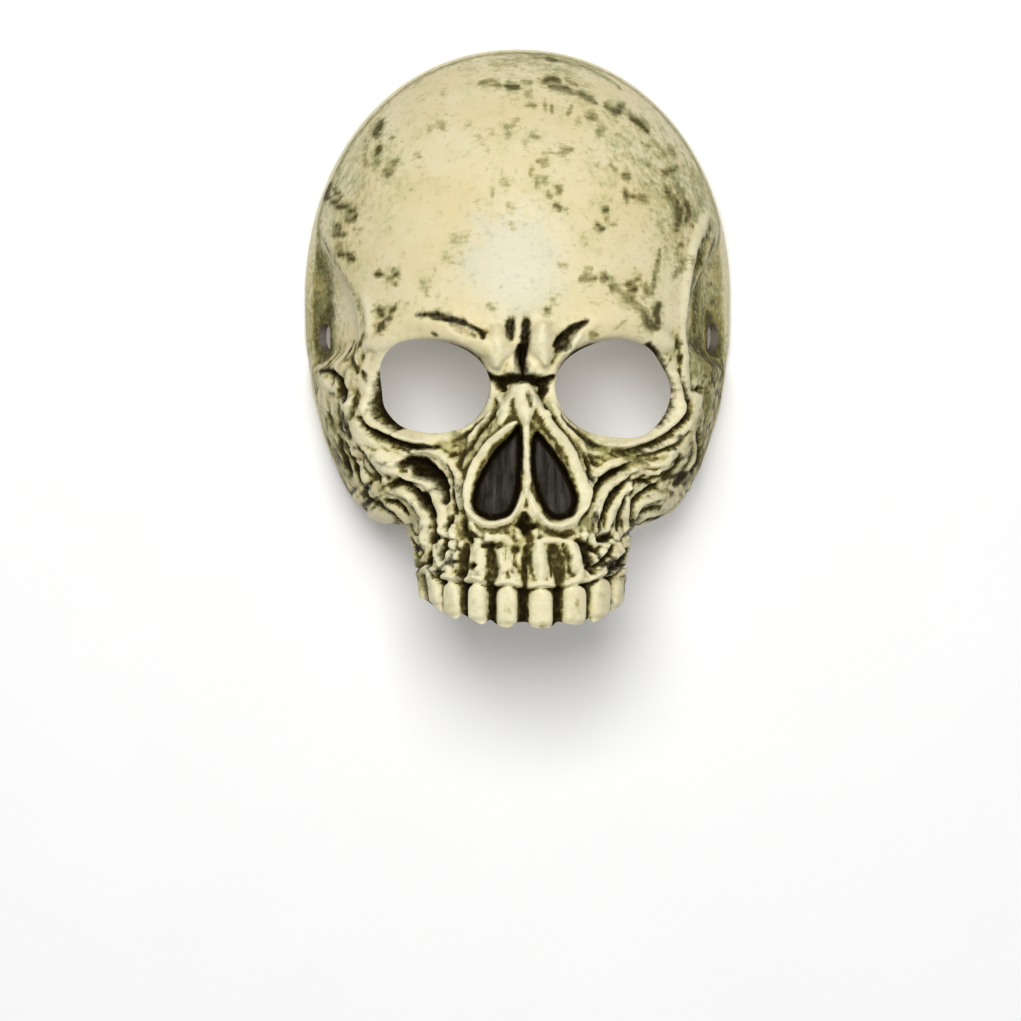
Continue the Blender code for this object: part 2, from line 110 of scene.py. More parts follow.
# level, face half-width, face depth, face fullness, muzzle half-width, muzzle depth, muzzle fullness
SECTIONS = (
    (14.0, 78.5, 85.0, 2.10, 1.0, 1.0, 2.3),
    (0.0, 78.2, 84.5, 2.20, 1.0, 1.0, 2.3),
    (-8.0, 77.2, 82.5, 2.25, 7.0, 74.0, 2.3),
    (-20.0, 75.6, 79.5, 2.35, 13.0, 85.0, 2.3),
    (-30.0, 73.2, 78.0, 2.45, 20.0, 90.5, 2.4),
    (-40.0, 70.2, 77.0, 2.50, 27.0, 92.0, 2.4),
    (-50.0, 66.4, 76.0, 2.60, 33.0, 92.0, 2.5),
    (-57.0, 63.0, 75.0, 2.60, 37.0, 92.0, 2.6),
    (-63.0, 59.0, 73.0, 2.60, 40.0, 92.5, 2.7),
    (-67.0, 53.5, 69.0, 2.50, 41.5, 93.0, 2.7),
    (-70.0, 45.0, 60.0, 2.30, 42.5, 93.5, 2.7),
    (-74.0, 20.0, 30.0, 2.20, 43.3, 94.0, 2.8),
    (-80.0, 5.0, 10.0, 2.20, 44.0, 95.0, 2.8),
    (-90.0, 5.0, 10.0, 2.20, 44.0, 96.0, 2.8),
    (-100.0, 5.0, 10.0, 2.20, 43.0, 95.5, 2.8),
    (-120.0, 5.0, 10.0, 2.20, 40.0, 93.0, 2.8),
)

# Outlines as seen from the front, which a smooth curve runs through.
LEFT_ORBIT = (
    (-10.5, -17), (-14, -7.5), (-24, -1.5), (-36, 0.2), (-47, -2.5), (-53, -9),
    (-56.5, -20), (-56, -28), (-50, -34.5), (-39, -37.5), (-26, -36.5), (-15, -30),
)
RIGHT_ORBIT = (
    (11, -17), (14, -8), (23, -1.8), (36, 0.6), (46.5, -2), (52.5, -8.5),
    (57, -19), (56, -28), (50, -35), (40, -38.7), (27, -37.8), (16, -31),
)
LEFT_EYE = (
    (-11.5, -18), (-15, -9.5), (-24, -3.5), (-36, -1.2), (-46, -3), (-51.5, -10),
    (-51, -20), (-49.5, -27), (-43, -33.5), (-31, -35.5), (-20.5, -33), (-14, -26.5),
)
RIGHT_EYE = (
    (12.0, -18), (15.5, -9.5), (24.5, -3.6), (35, -1.2), (45.5, -3.6), (51, -10),
    (55, -19), (52.5, -29), (44.5, -36.5), (32, -36.8), (22, -34), (14.5, -27),
)
LEFT_NOSTRIL = (
    (-1.2, -32), (-5.4, -36.6), (-10.4, -41.8), (-14.8, -48.6), (-18.2, -57), (-17.8, -64),
    (-12, -67.4), (-5.4, -66.2), (-1.6, -60.4), (-0.3, -50), (0.1, -39),
)
RIGHT_NOSTRIL = (
    (5.0, -34.6), (9.8, -39.6), (13.8, -44.8), (17.8, -52.5), (20.2, -60), (17.8, -66),
    (12, -67.4), (7.6, -64.4), (4.6, -57.4), (2.7, -49), (2.7, -40.4),
)
LEFT_TEMPLE = (
    (-76, 46), (-70.5, 34), (-64, 22), (-59.5, 10), (-58.5, 0), (-61.5, -8), (-69, -12),
    (-80, -13), (-95, -5), (-95, 30), (-86, 47),
)
# outline, depth, width of the wall that leads down to it
ORBITS = ((LEFT_ORBIT, 8.0, 5.5), (RIGHT_ORBIT, 8.0, 5.5))
NOSTRILS = ((LEFT_NOSTRIL, 8.5, 1.8), (RIGHT_NOSTRIL, 8.5, 1.8))
TEMPLE_DEPTH, TEMPLE_WALL = 6.5, 8.0
TEMPLE_FADE_START, TEMPLE_FADE = 3.0, 25.0

# The carved lines. The rise is along the surface's normal, below 0 for a groove. Ink is how dark the line
# is painted, from 0 to 1, and below 0 where a ridge is wiped clean of the wash.
# half-width, rise, ink, the points that the middle line runs through
STROKES = (
    # Brows, and the bulges and lines between them
    (7.0, 2.3, 0, ((-53, -3), (-45, 4), (-34, 6), (-23, 3.5), (-14, -4))),
    (7.0, 2.3, 0, ((53, -3), (45, 4.5), (34, 6), (24, 3.5), (15, -4))),
    (6.5, 3.4, 0, ((-9.5, 1), (-9, -9))),
    (6.0, 3.4, 0, ((7.5, 3), (7.2, -9))),
    (1.7, -2.0, 1.0, ((-38.4, 6.6), (-33, 7.4), (-28, 6.8), (-23, 5.4), (-20.4, 4.4))),
    (1.1, -1.8, 0.95, ((-20, 4.2), (-17, 3), (-15, 1.2), (-13.8, -0.8))),
    (2.2, -1.6, 0.4, ((-26, 4), (-21, 1.8), (-17, 0.2))),
    (1.0, -0.8, 0.9, ((-32.8, 0.8), (-31, 0.4))),
    (1.9, -2.6, 1.0, ((22.6, 5.2), (18.6, 3), (15.5, 0.4), (12.2, -3))),
    (3.0, -2.4, 0.85, ((15.8, -1), (13.4, -5.2))),
    (1.2, -1.0, 0.5, ((19, 1.6), (16.5, -2), (15.4, -5))),
    (1.6, 0.9, -0.8, ((21.5, 1.4), (18.4, -3), (16.4, -7.4))),
    (2.3, -2.4, 0.9, ((-3.6, 6), (-4.6, 2.2), (-4.2, -1.2))),
    (2.1, -3.6, 1.0, ((1.6, 6.4), (1.3, 0), (1.0, -7))),
    (2.6, -3.0, 1.0, ((-0.8, -4.4), (-0.8, -9), (-0.2, -14))),
    (3.1, -3.6, 1.0, ((0.2, -7), (0, -11), (0.6, -14.5))),
    (2.5, -2.6, 1.0, ((-13.5, -14.6), (-9, -16.5), (-4, -15.8), (3, -15.4), (8, -16.8), (11.5, -15.6))),
    (1.8, -2.2, 0.95, ((-10, -17.4), (-6.5, -19.6))),
    (2.2, -2.4, 1.0, ((8.8, -16.6), (7.8, -22))),
    (4.8, 1.0, -1.0, ((-9.4, -3.4), (-8.6, -10.6))),
    (3.8, 1.0, -1.0, ((6.8, 4), (6.8, -4), (7.6, -12.2))),
    # Nose bones
    (4.5, 3.2, -0.3, ((0, -18), (0.5, -25), (1, -31))),
    (1.9, 1.2, -0.7, ((-2.5, -18.5), (-5, -25), (-8.5, -31.5))),
    (2.4, 1.6, -0.8, ((1.5, -17), (4, -23.5), (8, -30))),
    (1.0, -1.0, 0.8, ((1.6, -21.5), (2.1, -27))),
    (0.9, -0.9, 0.6, ((-3.2, -24), (-5.2, -29.5))),
    # Rims of the two nose hollows, and the wall between them
    (1.7, 2.4, -0.8, ((-3, -31.8), (-7.4, -35), (-12.6, -40.2), (-17.2, -47.6), (-20.1, -57),
                      (-19.4, -64.4), (-13.8, -68.9), (-6.5, -68.2), (-3, -65.2))),
    (1.5, -1.2, 0.5, ((-17.4, -43), (-20.6, -49.4), (-22.4, -57), (-21.6, -65))),
    (2.3, 2.8, -0.9, ((7, -29), (11, -34.5), (15.4, -40.5), (19.2, -47.5), (22, -57), (20.7, -64.6),
                      (15.5, -69), (9.5, -69.2), (6, -66))),
    (1.5, 1.6, -0.8, ((1.2, -31), (1.4, -42), (1.4, -53), (1.2, -59))),
    (1.6, 1.6, -0.8, ((1.0, -56), (-1, -61.5), (-3.4, -65.8))),
    (1.7, 1.6, -0.8, ((1.6, -56), (3.6, -62), (6.6, -67))),
    (3.0, -3.2, 1.0, ((0.7, -65.5), (1.0, -71.5))),
    (2.0, -1.6, 1.0, ((-2.4, -69.4), (4.4, -69.6))),
    (1.0, -1.0, 0.85, ((7, -69.6), (10.5, -72), (14.5, -73), (19, -72))),
    (0.9, -0.8, 0.6, ((-17, -70.5), (-13.5, -72.2))),
    # The fibrous lines between the nose and the orbits
    (1.1, -1.3, 0.9, ((8.6, -25.5), (12, -31.5), (16, -37), (20, -43))),
    (1.3, 1.1, -0.6, ((11.5, -25), (15, -31), (20, -37.5), (24, -43))),
    (1.1, -1.3, 0.85, ((14, -29), (18.5, -34), (24, -38.6), (29, -41))),
    (1.2, 1.0, -0.6, ((17, -31.5), (22, -36), (28, -38.6))),
    (1.1, -1.1, 0.8, ((23, -44), (24.5, -49), (25, -54))),
    (1.0, -1.1, 0.75, ((-9.4, -22.5), (-11, -28), (-15, -34.5), (-19.5, -41))),
    (1.3, 1.1, -0.6, ((-12.5, -28.5), (-17, -34.5), (-21.5, -41.5))),
    (1.1, -1.1, 0.75, ((-14.2, -29.5), (-19, -35), (-25, -38.6))),
    (1.1, 1.0, -0.6, ((-11.3, -22), (-8, -23.2), (-7, -26.6), (-9.6, -29))),
    (0.9, -0.9, 0.65, ((-20, -38), (-22, -44), (-22.2, -49))),
    # Cheekbones: lower rims of the orbits
    (2.3, -1.4, 1.0, ((-52.2, -13.4), (-53.2, -19), (-53.4, -25), (-50.4, -30.2), (-46.2, -33.6))),
    (1.7, -1.0, 0.95, ((46.5, -3), (50.6, -8), (53.4, -14.4), (55.2, -19), (53.8, -27), (49.8, -33))),
    (1.5, 2.4, -1.0, ((-56.6, -20), (-56.2, -26.6), (-53.4, -31.6), (-48, -35.2), (-41.2, -37.8),
                      (-33, -39.2))),
    (2.0, 2.6, -1.0, ((56.6, -14), (58.2, -21), (56.4, -28.4), (51, -34.4), (44.6, -37.8),
                      (37, -39.6), (28, -39.6))),
    (1.3, -2.2, 1.0, ((-57.6, -29.4), (-54.4, -33.8), (-49.6, -37.2), (-43.4, -39.8), (-37, -41),
                      (-31, -40.8))),
    (1.1, -1.8, 0.9, ((59.8, -17), (60.6, -24), (58.6, -30), (54, -35.4))),
    (1.6, -2.0, 0.62, ((57.4, -31.4), (52, -37), (46, -40.4), (40, -42.2), (33, -42.8))),
    (1.0, -1.2, 0.6, ((60, -34), (55, -39), (48, -42.6), (42, -44.4))),
    (1.1, 1.0, -0.8, ((60.6, -31), (56, -37), (49, -41), (43, -43.4))),
    (0.8, -0.9, 0.6, ((-47, -40.6), (-43.4, -41.4), (-41, -43))),
    (8.0, 2.8, 0, ((-62, -24), (-57, -38), (-48, -47))),
    (8.0, 2.8, 0, ((63, -24), (58, -38), (50, -47))),
    # Left cheek
    (3.2, 1.6, -1.0, ((-50, -42.6), (-48.4, -46.6), (-46.6, -49.4))),
    (3.1, -4.0, 1.0, ((-44, -47.2), (-39.6, -46.2), (-35, -47.2), (-31.4, -50.2))),
    (3.2, -4.4, 1.0, ((-39.6, -49), (-34.4, -50), (-30.6, -52.4), (-28.4, -56.4))),
    (1.5, -3.2, 1.0, ((-28, -55), (-27.9, -58.6), (-28.6, -61.2))),
    (2.0, 2.2, -1.0, ((-40, -42.2), (-34, -41.8), (-28.6, -44.6), (-24.8, -49.6), (-23.2, -56),
                      (-22.4, -62.5))),
    (1.2, -1.4, 0.8, ((-26.4, -47.4), (-24.6, -52.6), (-24.9, -59), (-24.6, -65))),
    (1.8, 2.4, -1.0, ((-44.4, -51), (-38.6, -52.4), (-33.4, -55.6), (-30.4, -60.6), (-29, -67),
                      (-28.8, -73))),
    (2.0, -3.2, 0.9, ((-48, -54.6), (-44.4, -53.4), (-41, -54.6))),
    (1.6, -3.4, 1.0, ((-43.4, -54), (-39.4, -56.4), (-36, -60.4), (-33.2, -65), (-31.6, -70.4),
                      (-31.6, -75.5))),
    (1.0, -1.6, 0.9, ((-36, -57.4), (-32.6, -62), (-30.6, -67))),
    (1.7, 2.4, -1.0, ((-47.5, -57), (-42.4, -57.6), (-38.4, -61.6), (-35.6, -67), (-34.8, -76))),
    (1.0, -2.0, 0.9, ((-49.6, -60.4), (-45, -62), (-41.8, -65.4))),
    (1.5, 1.5, -0.9, ((-50, -62), (-46, -64.4), (-41.5, -68.2))),
    (3.2, 2.0, -0.9, ((-54.5, -65.2), (-47.5, -66.4))),
    (0.8, -1.0, 0.9, ((-56, -60.8), (-51.5, -61.6), (-46.6, -64.6), (-43.6, -67.6))),
    (1.3, -1.6, 0.85, ((-62.5, -39), (-60.5, -47), (-58, -54.5))),
    (1.2, -1.4, 0.85, ((-55.5, -42), (-52.6, -47.5), (-51.6, -52.5))),
    (1.0, -1.2, 0.8, ((-66, -36), (-65, -43), (-62, -51))),
    (1.2, -1.2, 0.8, ((-54.5, -52), (-57, -57), (-55.5, -60))),
    (1.2, 1.3, -0.9, ((-60, -41), (-58.5, -48), (-55.5, -55))),
    (1.1, 1.2, -0.9, ((-57.6, -38), (-54, -43.4), (-50.4, -50.6), (-50, -54))),
    (1.4, -1.0, 0.75, ((-63.6, -27), (-61.6, -33), (-60.4, -37))),
    (1.0, -1.0, 0.8, ((-59.6, -20), (-59.4, -26), (-60.2, -30))),
    (1.1, 1.0, -0.8, ((-61.4, -21), (-61.4, -28), (-63, -34))),
    (1.0, -1.0, 0.7, ((-70.4, -28), (-68, -33))),
    # Right cheek
    (1.8, 1.8, -1.0, ((42, -45), (36, -46), (30.5, -48.4), (26, -52.6), (23, -58), (21.4, -64))),
    (1.6, -3.2, 1.0, ((39, -46.4), (34.6, -49), (30, -52), (27, -56.6), (24.4, -61.4), (22.4, -67))),
    (1.8, 2.0, -1.0, ((51, -46), (43, -47.8), (36.6, -51), (32, -55), (28.8, -60.5), (26.4, -68))),
    (1.2, -2.0, 0.95, ((39, -51.4), (35.4, -55.6), (32, -61), (29.2, -67), (27.4, -72))),
    (1.2, 1.5, -1.0, ((38.8, -55), (35.4, -60), (32.6, -66), (31, -72))),
    (1.1, -1.8, 0.9, ((38, -58.6), (36, -64), (34.8, -71))),
    (1.0, -1.4, 0.85, ((38.6, -52.6), (43, -52.6), (48, -54))),
    (1.4, 1.8, -1.0, ((50, -50.6), (44, -50), (39.6, -52.6), (38.4, -59), (38, -66), (38.8, -74))),
    (1.1, -2.4, 1.0, ((50.5, -54.4), (45.6, -56.6), (41.4, -60.6), (40, -65), (40.2, -70))),
    (1.1, 1.8, -1.0, ((51, -58.8), (46.5, -59.8), (43, -62.2), (41.2, -66))),
    (0.9, -2.0, 0.8, ((51, -62.6), (47, -63.2), (43.4, -65), (41, -69))),
    (0.9, 1.6, -1.0, ((50.6, -64.8), (46, -65.2), (42.8, -67.2), (41, -71))),
    (0.8, -1.8, 0.95, ((50.4, -66.4), (45.6, -67), (42.4, -69.4), (40.6, -73.6))),
    (0.9, 1.4, -1.0, ((50, -68), (45.6, -68.8), (42.6, -72))),
    (2.4, -1.2, 0.85, ((60.5, -50), (57.4, -54))),
    (1.2, -1.4, 0.75, ((64, -34), (66, -42), (63, -50))),
    (1.0, 1.2, -0.8, ((62, -36), (63.6, -43), (60.4, -50))),
    (1.1, -1.2, 0.8, ((56.4, -43), (55.4, -48), (52.6, -52))),
    (1.0, -1.2, 0.8, ((24.8, -44), (27.2, -47.6))),
    (1.2, 1.1, -0.9, ((55, -40), (52, -45.6), (49.4, -50))),
    # The upper jaw between the nose and the teeth
    (1.5, 1.0, -0.5, ((-17, -76), (-12, -73.8), (-7, -74), (-3, -76.6))),
    (1.2, 0.8, -0.4, ((4, -75.6), (9, -74.6), (14, -75.4), (19.5, -76))),
    (2.2, -1.8, 0.95, ((20.4, -74.8), (23.6, -77), (26.4, -78.6))),
    (2.0, -2.4, 1.0, ((27.6, -74.6), (31.6, -73.6))),
    (1.3, 1.8, -1.0, ((23.4, -84), (27, -81), (30.6, -76.6))),
    (1.2, 1.8, -1.0, ((25.8, -87.2), (29.6, -84.2), (34, -79.6))),
    (1.0, -1.8, 0.95, ((25.4, -84.8), (29.4, -81.6), (33, -76.6))),
    (1.3, -2.2, 1.0, ((29.4, -88), (33, -85.4), (36.6, -81.6), (38.4, -78))),
    (1.2, 1.4, -1.0, ((34.4, -72.6), (35.6, -77), (37.6, -80))),
    (1.0, 1.2, -0.9, ((21.6, -72), (25, -73), (28, -70.6))),
    (2.0, -2.8, 1.0, ((-28, -75.4), (-28.6, -81))),
    (1.3, -2.0, 0.95, ((-33, -78), (-33, -84.6))),
    (1.5, 1.7, -1.0, ((-30.6, -74.6), (-31.2, -79), (-29.4, -84))),
    (1.6, 2.0, -1.0, ((-25, -69.6), (-25.4, -76), (-27.4, -82), (-30.6, -86.6))),
    (1.2, -1.6, 0.95, ((-26, -66), (-27, -70.6))),
    (1.4, -1.6, 0.9, ((-21.6, -66.4), (-21.6, -71.4), (-18.4, -75.4))),
    (1.1, -1.2, 0.85, ((-19.6, -71.6), (-16, -73.6))),
    (1.2, 1.2, -0.9, ((-19.4, -68.6), (-17.4, -71.8), (-12.6, -72.6))),
    # Between the roots of the teeth
    (2.7, -2.6, 0.66, ((-12.4, -76.6), (-11.4, -83), (-12, -92.5))),
    (1.3, -1.8, 0.9, ((-14.8, -77.2), (-11.4, -76), (-8.4, -77))),
    (1.5, -2.6, 0.8, ((1.1, -77.4), (1.0, -83), (0.5, -92.5))),
    (1.0, -1.2, 0.85, ((-3.4, -76.6), (-1.6, -78.6))),
    (0.9, -1.2, 0.85, ((-3.2, -82.6), (-2.2, -83.8))),
    (0.9, -1.0, 0.8, ((-4.2, -85.4), (-3.4, -87))),
    (2.9, -2.6, 0.62, ((11.4, -77), (12.8, -83), (14, -92))),
    (2.4, -2.8, 0.72, ((-20.8, -76.6), (-21.8, -83), (-22.8, -91))),
    (1.2, -1.8, 1.0, ((-20, -83.8), (-16.8, -83.4))),
    (1.7, -2.6, 1.0, ((21.8, -76.4), (23, -80.6), (24.8, -86.6))),
    (1.4, -1.8, 0.95, ((-29.6, -85.6), (-30.8, -90))),
    (2.2, 1.7, -0.9, ((-15.9, -79.6), (-16.4, -84), (-17.4, -88))),
    (1.8, 1.6, -0.9, ((-8, -78.2), (-7.4, -83), (-7.6, -88.4))),
    (1.7, 1.5, -0.9, ((-4.4, -79.6), (-4.2, -84), (-3.4, -88.4))),
    (2.9, 1.9, -0.9, ((5.6, -76.4), (6.2, -82), (6.6, -89))),
    (2.7, 1.8, -0.9, ((18, -77.4), (19.4, -82.4), (21, -88))),
    (0.9, -1.2, 0.7, ((14.4, -76.6), (16.2, -80.6), (16.8, -86.4))),
    (0.9, -1.2, 0.7, ((9.6, -77), (9.9, -82), (10.6, -88.4))),
    (0.8, -1.0, 0.6, ((3.2, -77.4), (2.9, -82), (3.2, -87))),
    (1.5, 1.4, -1.0, ((-25.6, -79), (-26.4, -86.4))),
    # The gum above each tooth
    (1.0, 1.6, -1.0, ((-36, -86.2), (-33.4, -85.2), (-31, -86.6))),
    (1.2, 1.8, -1.0, ((-30.4, -89), (-28.4, -87.8), (-25.6, -88), (-23.4, -89.6))),
    (1.2, 2.0, -1.0, ((-21.6, -89.8), (-19.6, -88.8), (-17.2, -88.4), (-15, -89.2), (-13.8, -91))),
    (1.2, 2.0, -1.0, ((-11, -92.2), (-9, -90.6), (-5.6, -89.9), (-2.8, -90.4), (-1.4, -91.6))),
    (1.2, 2.0, -1.0, ((0.8, -93), (2.8, -91.5), (6.4, -90.9), (10, -91), (12.4, -92))),
    (1.2, 2.0, -1.0, ((15.6, -91.4), (17.6, -90), (20.6, -89.5), (24.6, -89.8))),
    (1.2, 1.8, -1.0, ((24.8, -88.8), (27, -87.2), (30, -86.6), (33, -87))),
    (1.0, 1.6, -1.0, ((33, -85.8), (35.2, -84.8), (38, -86))),
    # Temples: the edge of the hollow, and the lines in it
    (1.6, -0.7, 0.34, ((-75.4, 41), (-72.6, 34), (-70, 30), (-67.6, 25), (-64.6, 20),
                       (-61.6, 15.4), (-59, 10), (-58.4, 4), (-59.4, -2), (-61.6, -6))),
    (1.8, 1.1, -0.6, ((-57.6, 16), (-55.8, 8), (-55.8, 0), (-56.6, -8))),
    (2.0, 1.4, -0.9, ((69.4, 47), (66, 40), (62.6, 28), (60.6, 15), (60, 0), (60.2, -12), (61.5, -22))),
    (1.8, -0.6, 0.5, ((70.8, 42), (68, 35), (65.4, 28), (63.4, 20), (62.6, 10), (62.4, -6))),
    (1.0, -0.9, 0.7, ((-63.4, 1), (-62.4, -7), (-60.2, -13.6))),
    (0.8, -0.8, 0.6, ((-66.6, -2), (-65.4, -9))),
    (1.3, -1.4, 0.95, ((-73.6, -12.6), (-70, -12.8), (-67, -15), (-64.4, -19), (-62.8, -23.6))),
    (2.0, -0.9, 0.75, ((-66.4, -19.6), (-62.6, -23))),
    (1.2, -1.0, 0.85, ((-58.2, -12.6), (-57.4, -17))),
    (2.2, 1.0, -0.7, ((-72, -16), (-68.4, -19.6))),
    (1.4, -1.8, 1.0, ((65, -19), (65.2, -20.2))),
    (1.0, -0.8, 0.95, ((57.4, -2.6), (57.4, -3.9))),
    (0.8, -0.7, 0.85, ((57.8, -6), (58.2, -9.4))),
    (0.8, -0.7, 0.75, ((58, -12), (58.8, -16))),
)

